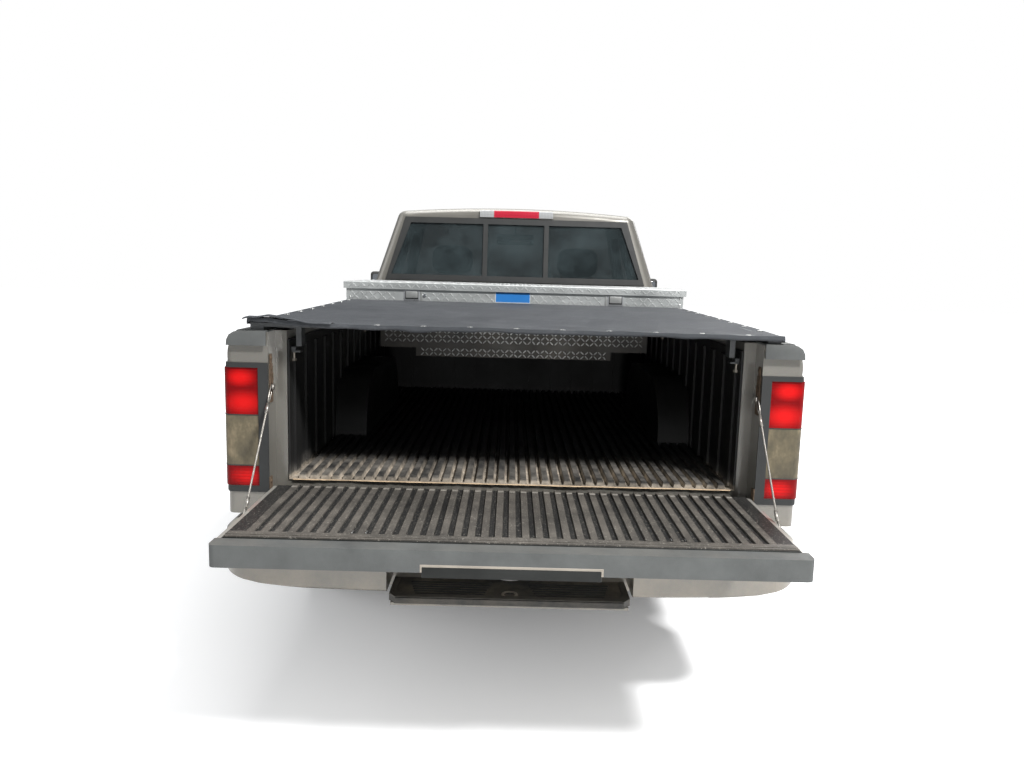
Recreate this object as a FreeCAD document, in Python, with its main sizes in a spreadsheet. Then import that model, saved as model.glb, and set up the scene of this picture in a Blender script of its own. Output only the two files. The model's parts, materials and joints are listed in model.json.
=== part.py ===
# Compact extended-cab pickup truck, parked with its tailgate open.
#
# Frame of the model: millimetres, X across with the driver's left at +X, Y along
# with the front at -Y, Z up from the ground that the tyres stand on. The origin
# lies on the ground under the middle of the overall length.

import FreeCAD, Part
import math
import os
import Sketcher

V = FreeCAD.Vector

SIZES = (
    ("front_face_y", -2681, "front face of the front bumper"),
    ("front_axle_y", -1846, "front axle"),
    ("rear_axle_y", 1104, "rear axle"),
    ("tail_y", 2174, "tail of the bed sides"),
    ("tailgate_reach", 507, "tail of the bed sides to the edge of the open tailgate"),
    ("track", 1420, "between the middles of the two wheels of an axle"),
    ("tyre_diameter", 705, "outside diameter of a tyre"),
    ("tyre_width", 225, "across the sidewalls of a tyre"),
    ("rim_diameter", 406, "bead seat of a wheel"),
    ("kingpin_x", 640, "steering axis from the middle plane"),
    ("body_half_width", 845, "widest part of the body from the middle plane"),
    ("sill_z", 360, "underside of the body"),
    ("widest_z", 830, "height of the widest part"),
    ("belt_z", 1100, "base of the side windows"),
    ("greenhouse_base_z", 1085, "where the sloping cab walls start"),
    ("greenhouse_base_half", 788, "half the cab's width at that base"),
    ("greenhouse_top_z", 1640, "where the sloping cab walls would end"),
    ("greenhouse_top_half", 608, "half the cab's width at that top"),
    ("roof_z", 1626, "top of the roof in the middle"),
    ("roof_joint_z", 1580, "joint of the roof with the walls"),
    ("windshield_base_y", -1422, "foot of the windshield in the middle"),
    ("windshield_top_y", -789, "windshield line at the top height"),
    ("door_front_y", -1416, "front edge of a door"),
    ("door_rear_y", -351, "rear edge of a door"),
    ("door_bottom_z", 432, "lower edge of a door"),
    ("door_top_z", 1560, "upper edge of a door's window frame"),
    ("hinge_inboard", 28, "door pin from the widest part"),
    ("hinge_back", 45, "door pin behind the door's front edge"),
    ("hinge_low_z", 600, "lower door hinge"),
    ("hinge_high_z", 930, "upper door hinge"),
    ("door_wall", 75, "thickness of a door below its window"),
    ("pillar_wall", 45, "thickness of the sloping cab walls"),
    ("roof_wall", 34, "thickness of the roof"),
    ("cab_back_y", 218, "rear face of the cab at the belt"),
    ("cab_floor_z", 520, "top of the cab floor"),
    ("bed_front_y", 243, "front face of the bed"),
    ("bed_wall_x", 670, "inner face of a bed side"),
    ("jamb_x", 705, "opening between the bed sides at the tailgate"),
    ("jamb_depth", 72, "recess of the bed sides behind the tailgate"),
    ("bed_floor_z", 665, "top of the bed floor"),
    ("bed_floor_depth", 25, "thickness of the bed floor"),
    ("bed_side_top_z", 1110, "top of the bed sides under their caps"),
    ("rail_z", 1115, "top of the rail caps"),
    ("liner_sheet", 4, "thickness of the bed liner's sheet"),
    ("liner_top_z", 684, "top of the ribs on the floor liner"),
    ("rib_pitch", 33, "spacing of the liner's ribs"),
    ("rib_width", 17, "width of one rib"),
    ("wheelhouse_x", 546, "inner face of a wheelhouse"),
    ("wheelhouse_z", 900, "top of a wheelhouse"),
    ("arch_radius", 428, "wheel openings in the body sides"),
    ("tailgate_half", 697.5, "half the tailgate's width"),
    ("tailgate_low_z", 609, "outer face of the open tailgate"),
    ("tailgate_high_z", 658, "inner face of the open tailgate"),
    ("tailgate_pin_z", 608.5, "height of the tailgate's hinge pins"),
    ("tailgate_pin_back", 1.5, "hinge pins ahead of the tail"),
    ("toolbox_half", 767.5, "half the toolbox's width"),
    ("toolbox_front_y", 284, "cab side of the toolbox"),
    ("toolbox_rear_y", 774, "tail side of the toolbox"),
    ("toolbox_rim_z", 1224, "rim of the toolbox"),
    ("toolbox_lid_z", 1235, "top of the toolbox's lid"),
    ("toolbox_lid_drop", 31, "depth of the lid's flange"),
    ("tonneau_half", 757, "half the tonneau cover's width"),
    ("tonneau_front_z", 1154, "tonneau cover at the toolbox"),
    ("tonneau_rear_z", 1139, "tonneau cover at the tail"),
    ("rear_bumper_half", 820, "half the rear bumper's width"),
    ("rear_bumper_back", 135, "rear bumper's face behind the tail"),
    ("rear_bumper_top_z", 560, "top of the rear bumper"),
    ("rear_bumper_low_z", 400, "underside of the rear bumper"),
    ("step_half", 337, "half the width of the bumper's step"),
    ("step_top_z", 400, "top of the step pad"),
    ("step_low_z", 373, "underside of the step pad"),
    ("ball_hole_radius", 13, "hole for a hitch ball in the step"),
    ("plate_hole_spacing", 178, "between the licence plate's two screws"),
    ("fit_gap", 0.3, "clearance of a pin in its bore"),
    ("seat_gap", 0.3, "between a piece and its seat"),
)

doc = FreeCAD.newDocument("pickup")
sheet = doc.addObject("Spreadsheet::Sheet", "sizes")
for row, (alias, value, note) in enumerate(SIZES, start=1):
    sheet.set("A%d" % row, note)
    sheet.set("B%d" % row, str(value))
    sheet.setAlias("B%d" % row, alias)
doc.recompute()


# Driving dimensions, as plain numbers and as bound expressions


class SheetNumbers:
    """The sheet's cells read as plain millimetres."""

    def __getattr__(self, alias):
        return float(sheet.get(alias))


class Dim:
    """A length that carries its value and the expression that gives it."""

    def __init__(self, value, text):
        self.value = value
        self.text = text

    def __add__(self, other):
        other = as_dim(other)
        return Dim(self.value + other.value, "(%s + %s)" % (self.text, other.text))

    def __sub__(self, other):
        other = as_dim(other)
        return Dim(self.value - other.value, "(%s - %s)" % (self.text, other.text))

    def __rsub__(self, other):
        return as_dim(other) - self

    def __mul__(self, factor):
        return Dim(self.value * factor, "(%s * %s)" % (self.text, factor))

    def __truediv__(self, factor):
        return Dim(self.value / factor, "(%s / %s)" % (self.text, factor))

    def __neg__(self):
        return Dim(-self.value, "(-1 * %s)" % self.text)


def as_dim(length):
    """A plain number as a Dim, and a Dim as it is."""
    if isinstance(length, Dim):
        return length
    return Dim(float(length), "(%s)" % length)


class SheetDims:
    """The sheet's cells as Dims, for sizes that stay bound to the sheet."""

    def __getattr__(self, alias):
        return Dim(float(sheet.get(alias)), "sizes." + alias)


mm = SheetNumbers()
size = SheetDims()

LEFT = 1
RIGHT = -1
SIDES = ((LEFT, "left"), (RIGHT, "right"))
nodes = {}


def bind(thing, prop, length):
    """Tie one property of an object to the sheet."""
    thing.setExpression(prop, as_dim(length).text)


def place(thing, x=0, y=0, z=0):
    """Tie an object's place to the sheet."""
    for axis, length in (("x", x), ("y", y), ("z", z)):
        bind(thing, "Placement.Base." + axis, length)


def node(label, thing):
    """Keep an object as one sub-part under its own label."""
    thing.Label = label
    nodes[label] = thing
    return thing


# Bound primitives and booleans

TURNS = {
    "x": FreeCAD.Rotation(V(0, 1, 0), 90),
    "y": FreeCAD.Rotation(V(1, 0, 0), -90),
    "z": FreeCAD.Rotation(),
}


def box(name, x, y, z):
    """A box between two lengths along each axis."""
    thing = doc.addObject("Part::Box", name)
    for span, side, axis in ((x, "Length", "x"), (y, "Width", "y"), (z, "Height", "z")):
        low, high = as_dim(span[0]), as_dim(span[1])
        bind(thing, side, high - low)
        bind(thing, "Placement.Base." + axis, low)
    return thing


def rod(name, axis, start, length, radius):
    """A cylinder that runs along one axis from its start point."""
    thing = doc.addObject("Part::Cylinder", name)
    thing.Placement = FreeCAD.Placement(V(), TURNS[axis])
    bind(thing, "Radius", radius)
    bind(thing, "Height", length)
    place(thing, *start)
    return thing


def fuse(name, pieces):
    thing = doc.addObject("Part::MultiFuse", name)
    thing.Shapes = list(pieces)
    return thing


def cut(name, base, tools):
    """A base less one tool or several."""
    tools = list(tools)
    tool = tools[0] if len(tools) == 1 else fuse(name + "_tools", tools)
    thing = doc.addObject("Part::Cut", name)
    thing.Base = base
    thing.Tool = tool
    return thing


# Sketched bodies


def origin_of(body, role):
    return [thing for thing in body.Origin.OriginFeatures if thing.Role == role][0]


def new_sketch(body, role):
    sketch = body.newObject("Sketcher::SketchObject", body.Name + "_sketch")
    sketch.AttachmentSupport = [(origin_of(body, role), "")]
    sketch.MapMode = "FlatFace"
    return sketch


def pin_coordinate(sketch, kind, geometry, length):
    """Hold one coordinate of a line's first point at a length from the origin."""
    length = as_dim(length)
    axis_line = {"DistanceX": -2, "DistanceY": -1}[kind]
    if abs(length.value) < 1e-6:
        sketch.addConstraint(Sketcher.Constraint("PointOnObject", geometry, 1, axis_line))
        return
    ends = (-1, 1, geometry, 1) if length.value > 0 else (geometry, 1, -1, 1)
    distance = length if length.value > 0 else -length
    index = sketch.addConstraint(Sketcher.Constraint(kind, *ends, distance.value))
    sketch.setExpression("Constraints[%d]" % index, distance.text)


def draw_outline(sketch, points):
    """A closed outline of straight lines whose corners are bound to the sheet."""
    corners = [(as_dim(a), as_dim(b)) for a, b in points]
    first = sketch.GeometryCount
    count = len(corners)
    for index, (across, up) in enumerate(corners):
        end_across, end_up = corners[(index + 1) % count]
        line = Part.LineSegment(V(across.value, up.value, 0), V(end_across.value, end_up.value, 0))
        sketch.addGeometry(line, False)
    for index in range(count):
        follower = first + (index + 1) % count
        sketch.addConstraint(Sketcher.Constraint("Coincident", first + index, 2, follower, 1))
    for index, (across, up) in enumerate(corners):
        pin_coordinate(sketch, "DistanceX", first + index, across)
        pin_coordinate(sketch, "DistanceY", first + index, up)


def draw_circle(sketch, across, up, radius):
    """A circle whose centre and radius are bound to the sheet."""
    across, up, radius = as_dim(across), as_dim(up), as_dim(radius)
    circle = Part.Circle(V(across.value, up.value, 0), V(0, 0, 1), radius.value)
    index = sketch.addGeometry(circle, False)
    constraint = sketch.addConstraint(Sketcher.Constraint("Radius", index, radius.value))
    sketch.setExpression("Constraints[%d]" % constraint, radius.text)
    for kind, length, axis_line in (("DistanceX", across, -2), ("DistanceY", up, -1)):
        if abs(length.value) < 1e-6:
            sketch.addConstraint(Sketcher.Constraint("PointOnObject", index, 3, axis_line))
            continue
        ends = (-1, 1, index, 3) if length.value > 0 else (index, 3, -1, 1)
        distance = length if length.value > 0 else -length
        constraint = sketch.addConstraint(Sketcher.Constraint(kind, *ends, distance.value))
        sketch.setExpression("Constraints[%d]" % constraint, distance.text)


def new_body(name):
    return doc.addObject("PartDesign::Body", name)


def pad(body, role, points, length):
    """An outline on one of the body's planes, padded equally to both sides."""
    sketch = new_sketch(body, role)
    draw_outline(sketch, points)
    feature = body.newObject("PartDesign::Pad", body.Name + "_pad")
    feature.Profile = sketch
    feature.SideType = "Symmetric"
    bind(feature, "Length", length)
    return feature


def revolve(body, points):
    """An outline of (along X, radius) pairs turned about the body's X axis."""
    sketch = new_sketch(body, "XZ_Plane")
    draw_outline(sketch, points)
    feature = body.newObject("PartDesign::Revolution", body.Name + "_turned")
    feature.Profile = sketch
    feature.ReferenceAxis = (origin_of(body, "X_Axis"), [""])
    feature.Angle = 360
    return feature


def pocket_through(body, role, draw):
    """A pocket through the whole body, from a sketch that draw fills in."""
    doc.recompute()
    before = body.Shape.Volume
    sketch = new_sketch(body, role)
    draw(sketch)
    feature = body.newObject("PartDesign::Pocket", body.Name + "_pocket")
    feature.Profile = sketch
    feature.Type = "ThroughAll"
    feature.SideType = "Symmetric"
    doc.recompute()
    if body.Shape.Volume >= before:
        raise ValueError("a pocket of %s cuts nothing" % body.Name)
    return feature


def polar(body, feature, count):
    """Repeat a feature around the body's X axis."""
    pattern = body.newObject("PartDesign::PolarPattern", body.Name + "_polar")
    pattern.Originals = [feature]
    pattern.Axis = (origin_of(body, "X_Axis"), [""])
    pattern.Angle = 360
    pattern.Occurrences = count
    body.Tip = pattern
    doc.recompute()
    return pattern


# Shapes made from outlines, for the panels that share the body's curved surfaces


def line(start, end):
    return Part.LineSegment(V(*start), V(*end)).toShape()


def arc(start, middle, end):
    return Part.Arc(V(*start), V(*middle), V(*end)).toShape()


def flat_shape(edges, along):
    """A closed flat outline moved along a vector into a solid."""
    return Part.Face(Part.Wire(edges)).extrude(V(*along))


def polygon(points, along):
    """A solid from the corners of a flat outline, moved along a vector."""
    corners = [V(*point) for point in points]
    return Part.Face(Part.makePolygon(corners + corners[:1])).extrude(V(*along))


def side_prism(points, x_from, x_to):
    """A solid whose outline is given in side view as (y, z) pairs."""
    return polygon([(x_from, y, z) for y, z in points], (x_to - x_from, 0, 0))


def plan_prism(points, z_from, z_to):
    """A solid whose outline is given from above as (x, y) pairs."""
    return polygon([(x, y, z_from) for x, y in points], (0, 0, z_to - z_from))


def front_prism(points, y_from, y_to):
    """A solid whose outline is given in front view as (x, z) pairs."""
    return polygon([(x, y_from, z) for x, z in points], (0, y_to - y_from, 0))


def block(x, y, z):
    """A plain block between two numbers along each axis."""
    shape = Part.makeBox(x[1] - x[0], y[1] - y[0], z[1] - z[0])
    shape.translate(V(x[0], y[0], z[0]))
    return shape


def tube_x(x, y, z, radius):
    """A round bar across the vehicle between two x places."""
    return Part.makeCylinder(radius, x[1] - x[0], V(x[0], y, z), V(1, 0, 0))


def tube_z(x, y, z, radius):
    """An upright round bar between two heights."""
    return Part.makeCylinder(radius, z[1] - z[0], V(x, y, z[0]), V(0, 0, 1))


def flipped(shape):
    """The mirror image on the other side of the middle plane."""
    return shape.mirror(V(0, 0, 0), V(1, 0, 0))


def with_mirror(shape):
    """A piece of one side with its mirror image, which it does not touch."""
    return Part.makeCompound([shape, flipped(shape)])


def shape_node(label, shape, placement=None):
    """A sub-part whose shape is made from outlines that read the sheet."""
    solids = shape.Solids
    thing = doc.addObject("Part::Feature", label)
    thing.Shape = solids[0] if len(solids) == 1 else Part.makeCompound(solids)
    thing.Placement = FreeCAD.Placement() if placement is None else placement
    return node(label, thing)


# Wheels


SEAT_HALF = 84
FLANGE_HALF = 89
FLANGE_RISE = 19
RIM_HALF = 97
RIM_WALL = 8
SPOKES = 6
BOLT_CIRCLE = 57
BOLT_HOLE = 7
SHOULDER = 22
SIDEWALL_DROP = 75


def tyre_section():
    """Half the tyre's section as (across, radius): bead, sidewalls, shoulders, tread."""
    half = size.tyre_width / 2
    outer = size.tyre_diameter / 2
    seat = size.rim_diameter / 2
    bead = seat + size.seat_gap
    bead_top = seat + FLANGE_RISE + size.seat_gap
    heel = SEAT_HALF - 0.4
    toe = FLANGE_HALF - 0.4
    return (
        (heel, bead),
        (toe, bead_top),
        (toe + 5, bead_top + 3),
        (half, outer - SIDEWALL_DROP),
        (half - SHOULDER, outer),
        (-half + SHOULDER, outer),
        (-half, outer - SIDEWALL_DROP),
        (-toe - 5, bead_top + 3),
        (-toe, bead_top),
        (-heel, bead),
    )


def make_tyre(label):
    body = new_body(label)
    revolve(body, tyre_section())
    return node(label, body)


def rim_section():
    """The rim's section as (across, radius), with its outer face at +across."""
    seat = size.rim_diameter / 2
    flange = seat + FLANGE_RISE
    well = seat - 17
    return (
        (-RIM_HALF, seat - RIM_WALL),
        (-RIM_HALF, flange),
        (-FLANGE_HALF, flange),
        (-SEAT_HALF, seat),
        (-45, seat),
        (-35, well),
        (25, well),
        (40, seat),
        (SEAT_HALF, seat),
        (FLANGE_HALF, flange),
        (RIM_HALF, flange),
        (RIM_HALF, seat - RIM_WALL),
        (60, seat - 12),
        (52, seat - 28),
        (40, 84),
        (50, 70),
        (50, 30),
        (18, 30),
        (18, seat - 25),
        (-40, seat - 25),
        (-52, seat - RIM_WALL),
    )


def make_rim(label):
    """A six-spoke wheel: a turned section with windows and bolt holes."""
    body = new_body(label)
    revolve(body, rim_section())
    window_in, window_out = 92, 162
    narrow, wide = 21, 55
    window = ((-narrow, window_in), (narrow, window_in), (wide, window_out), (-wide, window_out))
    polar(body, pocket_through(body, "YZ_Plane", lambda s: draw_outline(s, window)), SPOKES)
    bolt_hole = pocket_through(body, "YZ_Plane", lambda s: draw_circle(s, 0, BOLT_CIRCLE, BOLT_HOLE))
    polar(body, bolt_hole, SPOKES)
    return node(label, body)


HALF_TURN = FreeCAD.Rotation(V(0, 0, 1), 180)


def make_wheels():
    for end, axle_y in (("front", size.front_axle_y), ("rear", size.rear_axle_y)):
        for side, side_name in SIDES:
            for piece, make in (("tyre", make_tyre), ("rim", make_rim)):
                body = make("%s_%s_%s" % (piece, end, side_name))
                if side == RIGHT:
                    body.Placement = FreeCAD.Placement(V(), HALF_TURN)
                place(body, size.track / 2 * side, axle_y, size.tyre_diameter / 2)


REAR_MEMBER_LOW = 480
CROSS_MEMBER_LOW = 440
SPARE_SHOULDER = 20
SPARE_DISC = 15
SPARE_BORE = 30


def make_spare_wheel():
    """The spare lies flat under the bed, hung from the frame."""
    body = new_body("spare_wheel")
    half = size.tyre_width / 2 - 10
    outer = size.tyre_diameter / 2
    seat = size.rim_diameter / 2
    section = (
        (half, seat), (half, outer - SPARE_SHOULDER), (half - SPARE_SHOULDER, outer),
        (-half + SPARE_SHOULDER, outer), (-half, outer - SPARE_SHOULDER), (-half, seat),
        (-SPARE_DISC, seat), (-SPARE_DISC, SPARE_BORE), (SPARE_DISC, SPARE_BORE), (SPARE_DISC, seat),
    )
    revolve(body, section)
    body.Placement = FreeCAD.Placement(V(), FreeCAD.Rotation(V(0, 1, 0), -90))
    place(body, 0, size.tail_y - 500, REAR_MEMBER_LOW - size.seat_gap - half)
    node("spare_wheel", body)


# Chassis


def make_ladder_frame():
    """Two rails, narrow between the front wheels and high over the rear axle."""
    side_view = (
        (-2560, 430), (-2300, 430), (-2150, 470), (-1580, 470), (-1440, 370), (500, 370),
        (720, 470), (1450, 470), (1600, 450), (2150, 450), (2150, 555), (1600, 560),
        (1450, 580), (720, 580), (480, 480), (-1430, 480), (-1570, 570), (-2150, 570),
        (-2300, 530), (-2560, 530),
    )
    band = side_prism(side_view, 200, 600)
    plan = plan_prism(
        (
            (310, -2560), (310, -1400), (420, -1150), (420, 400), (440, 700), (440, 2150),
            (505, 2150), (505, 690), (485, 390), (485, -1160), (372, -1410), (372, -2560),
        ),
        300, 700,
    )
    rail = band.common(plan)
    pieces = [rail, flipped(rail)]
    cross_members = (
        (-2540, 340, 460, 500, 35), (-300, 450, CROSS_MEMBER_LOW, 480, 30),
        (600, 470, CROSS_MEMBER_LOW, 490, 30),
        (1560, 470, REAR_MEMBER_LOW, 530, 30), (2120, 460, 470, 540, 25),
    )
    for y, half, low, high, half_depth in cross_members:
        pieces.append(block((-half, half), (y - half_depth, y + half_depth), (low, high)))
    for side in (LEFT, RIGHT):
        pieces.append(block(sorted((side * 140, side * 450)), (-1180, -1120), (372, 410)))
        pieces.append(block(sorted((side * 140, side * 170)), (-1180, -1120), (290, 410)))
    pieces.append(block((-170, 170), (-1180, -1120), (290, 312)))
    mounts = [
        tube_z(side * x, y, (z, mm.cab_floor_z - 30), 28)
        for side in (LEFT, RIGHT)
        for x, y, z in ((452, -900, 480), (452, 100, 480))
    ]
    frame = pieces[0].fuse(pieces[1:] + mounts)
    shape_node("ladder_frame", frame.removeSplitter())


def make_power_train():
    """The engine as one plain block, with gearbox, propeller shaft and differential link."""
    engine = box("engine", (-230, 230), (-2330, -1640), (490, 900))
    bell = box("bell_housing", (-190, 190), (-1640, -1480), (330, 670))
    gearbox = box("gearbox", (-120, 120), (-1480, -760), (320, 489.5))
    shaft = rod("propeller_shaft", "y", (0, -760, 390), size.rear_axle_y - size.seat_gap - 190 + 760, 40)
    node("power_train", fuse("power_train", (engine, bell, gearbox, shaft)))


RACK_RADIUS = 11
RACK_BACK = 130
RACK_Z = 333
KINGPIN_RADIUS = 8
HUB_REACH = 17.7
STUB_REACH = 52
STUB_RADIUS = 29.7
SPRING_X = 510
SPRING_OUTER_X = 565
DIFFERENTIAL_RADIUS = 122


def make_front_suspension():
    """Wishbones of both front wheels, their crossmember and the steering rack's housing."""
    axle_y = mm.front_axle_y
    pieces = [block((-330, 330), (axle_y - 70, axle_y + 60), (225, 345))]
    for side in (LEFT, RIGHT):
        for inner, z_low, z_high in ((300, 222, 246), (372 + mm.seat_gap, 478, 502)):
            arm = plan_prism(
                [
                    (side * inner, axle_y - 120), (side * 395, axle_y - 110),
                    (side * 660, axle_y - 24), (side * 660, axle_y + 24),
                    (side * 395, axle_y + 90), (side * inner, axle_y + 90),
                ],
                z_low, z_high,
            )
            pieces.append(arm)
        tower = (225, 470 - mm.seat_gap)
        pieces.append(block(sorted((side * 300, side * 330)), (axle_y - 70, axle_y + 60), tower))
        pieces.append(tube_z(side * 470, axle_y, (246, 478), 30))
    shape = pieces[0].fuse(pieces[1:])
    for side in (LEFT, RIGHT):
        shape = shape.cut(tube_z(side * mm.kingpin_x, axle_y, (200, 520), KINGPIN_RADIUS + mm.fit_gap))
    rack_y = axle_y + RACK_BACK
    housing = tube_x((-280, 280), rack_y, RACK_Z, 30)
    bridge = block((-280, 280), (axle_y + 50, rack_y - 10), (312, 340))
    bore = tube_x((-300, 300), rack_y, RACK_Z, RACK_RADIUS + mm.fit_gap)
    shape = shape.fuse([housing, bridge]).cut(bore)
    shape_node("front_suspension", shape.removeSplitter())


def make_knuckles():
    """Upright, hub, brake disc and steering arm of each front wheel."""
    axle_y = mm.front_axle_y
    hub_z = mm.tyre_diameter / 2
    for side, side_name in SIDES:
        x = side * mm.kingpin_x
        hub_face = side * (mm.track / 2 + HUB_REACH)
        upright = tube_z(x, axle_y, (252, 472), 26)
        pin = tube_z(x, axle_y, (216, 508), KINGPIN_RADIUS)
        hub = tube_x(sorted((x, side * (mm.track / 2 + STUB_REACH))), axle_y, hub_z, STUB_RADIUS)
        flange = tube_x(sorted((side * (mm.track / 2 - 14), hub_face)), axle_y, hub_z, 72)
        disc = tube_x(sorted((side * (mm.track / 2 - 22), side * (mm.track / 2))), axle_y, hub_z, 142)
        arm = block(sorted((x - side * 13, x + side * 13)), (axle_y, axle_y + 143), (292, 312))
        shape = upright.fuse([pin, hub, flange, disc, arm])
        shape_node("knuckle_%s" % side_name, shape.removeSplitter())


def make_tie_rods():
    """The rack bar with both tie rods, whose ends stand just above the steering arms."""
    rack_y = mm.front_axle_y + RACK_BACK
    bar = tube_x((-632, 632), rack_y, RACK_Z, RACK_RADIUS)
    ends = [tube_z(side * 628, rack_y, (320, 346), 13) for side in (LEFT, RIGHT)]
    shape_node("tie_rods", bar.fuse(ends).removeSplitter())


def make_rear_suspension():
    """Rear axle with its differential, drums, leaf springs and dampers."""
    axle_y = mm.rear_axle_y
    hub_z = mm.tyre_diameter / 2
    hub_face = mm.track / 2 + HUB_REACH
    axle = tube_x((-600, 600), axle_y, hub_z, 42)
    pieces = [axle, tube_x((-50, 50), axle_y, hub_z, DIFFERENTIAL_RADIUS)]
    for side in (LEFT, RIGHT):
        start = V(side * 50, axle_y, hub_z)
        pieces.append(Part.makeCone(DIFFERENTIAL_RADIUS, 58, 85, start, V(side, 0, 0)))
    pieces.append(block((-45, 45), (axle_y - 190, axle_y - 60), (hub_z - 45, hub_z + 45)))
    for side in (LEFT, RIGHT):
        pieces.append(tube_x(sorted((side * 590, side * hub_face)), axle_y, hub_z, 140))
        stub_x = sorted((side * 700, side * (mm.track / 2 + STUB_REACH)))
        pieces.append(tube_x(stub_x, axle_y, hub_z, STUB_RADIUS))
        spring = side_prism(
            (
                (axle_y - 620, 455), (axle_y - 300, 330), (axle_y - 90, 300), (axle_y + 90, 300),
                (axle_y + 300, 330), (axle_y + 620, 445), (axle_y + 620, 460), (axle_y + 300, 350),
                (axle_y + 90, 345), (axle_y - 90, 345), (axle_y - 300, 350), (axle_y - 620, 470),
            ),
            side * SPRING_X, side * SPRING_OUTER_X,
        )
        pieces.append(spring)
        hanger_x = sorted((side * (505 + mm.seat_gap), side * SPRING_OUTER_X))
        pieces.append(block(hanger_x, (axle_y - 645, axle_y - 600), (440, 490)))
        pieces.append(block(hanger_x, (axle_y + 600, axle_y + 645), (435, 500)))
    shape_node("rear_suspension", pieces[0].fuse(pieces[1:]).removeSplitter())


def pipe_along(points, radius, bend):
    """A round pipe of straight runs joined by arcs."""
    corners = [V(*point) for point in points]
    edges = []
    start = corners[0]
    for before, corner, after in zip(corners, corners[1:], corners[2:]):
        back = (before - corner).normalize()
        ahead = (after - corner).normalize()
        half_turn = (math.pi - back.getAngle(ahead)) / 2
        reach = bend * math.tan(half_turn)
        enter = corner + back * reach
        leave = corner + ahead * reach
        inward = (back + ahead).normalize()
        middle = corner + inward * (bend / math.cos(half_turn) - bend)
        edges.append(Part.LineSegment(start, enter).toShape())
        edges.append(Part.Arc(enter, middle, leave).toShape())
        start = leave
    edges.append(Part.LineSegment(start, corners[-1]).toShape())
    spine = Part.Wire(edges)
    direction = (corners[1] - corners[0]).normalize()
    profile = Part.Wire([Part.makeCircle(radius, corners[0], direction)])
    return spine.makePipeShell([profile], True, True)


EXHAUST_X = -262
EXHAUST_Z = 300
SILENCER_RADIUS = 85


def make_exhaust():
    """Downpipe, silencer and tailpipe on the right, under the axle to the rear corner."""
    downpipe = ((EXHAUST_X, -1660, 560), (EXHAUST_X, -1580, EXHAUST_Z), (EXHAUST_X, -200, EXHAUST_Z))
    front = pipe_along(downpipe, 26, 120)
    silencer = Part.makeCylinder(SILENCER_RADIUS, 560, V(EXHAUST_X, -200, EXHAUST_Z), V(0, 1, 0))
    tail = pipe_along(
        (
            (EXHAUST_X, 360, EXHAUST_Z), (EXHAUST_X, 820, EXHAUST_Z), (-330, 900, 245), (-330, 1300, 245),
            (-640, 1760, 330), (-700, 2040, 330),
        ),
        24, 90,
    )
    flange = block((-292, -230 - mm.seat_gap), (-1700, -1642), (540, 600))
    hanger = tube_z(EXHAUST_X, 600, (310, CROSS_MEMBER_LOW - mm.seat_gap), 6)
    shape_node("exhaust", front.fuse([silencer, tail, flange, hanger]).removeSplitter())


def make_fuel_tank():
    tank = box("fuel_tank", (110, 395), (-250, 640), (270, CROSS_MEMBER_LOW - size.seat_gap))
    node("fuel_tank", tank)


# Curved surfaces that the cab, doors and front end share


def section_edges(inset):
    """The body's section below the belt, moved in from each side by an inset."""
    low_z, high_z = mm.sill_z, mm.belt_z

    def at(x, z, side):
        return (side * (x - inset), 0, z)

    def side_edges(side):
        lower = arc(at(800, low_z, side), at(mm.body_half_width, mm.widest_z, side), at(818, 1050, side))
        upper = arc(at(818, 1050, side), at(806, 1085, side), at(783, high_z, side))
        return lower, upper

    left_lower, left_upper = side_edges(LEFT)
    right_lower, right_upper = side_edges(RIGHT)
    return [
        line(at(800, low_z, RIGHT), at(800, low_z, LEFT)),
        left_lower,
        left_upper,
        line(at(783, high_z, LEFT), at(783, high_z, RIGHT)),
        right_upper,
        right_lower,
    ]


def lower_body(inset, y_from, y_to, low_z=None, high_z=None):
    """The body below the belt between two places along the vehicle and two heights."""
    solid = flat_shape(section_edges(inset), (0, y_to - y_from, 0))
    solid.translate(V(0, y_from, 0))
    if low_z is None and high_z is None:
        return solid
    low = mm.sill_z if low_z is None else low_z
    high = mm.belt_z if high_z is None else high_z
    return solid.common(block((-1000, 1000), (y_from, y_to), (low, high)))


def plan_loop(z, half, front, front_corner, rear, rear_corner):
    """The cab's outline from above at one height, with bowed front and back."""
    left_front, right_front = (half, front_corner, z), (-half, front_corner, z)
    left_rear, right_rear = (half, rear_corner, z), (-half, rear_corner, z)
    return Part.Wire([
        arc(right_front, (0, front, z), left_front),
        line(left_front, left_rear),
        arc(left_rear, (0, rear, z), right_rear),
        line(right_rear, right_front),
    ])


WINDSHIELD_BOW = 77
BACK_BOW = 15
BACK_LEAN = 78


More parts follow.
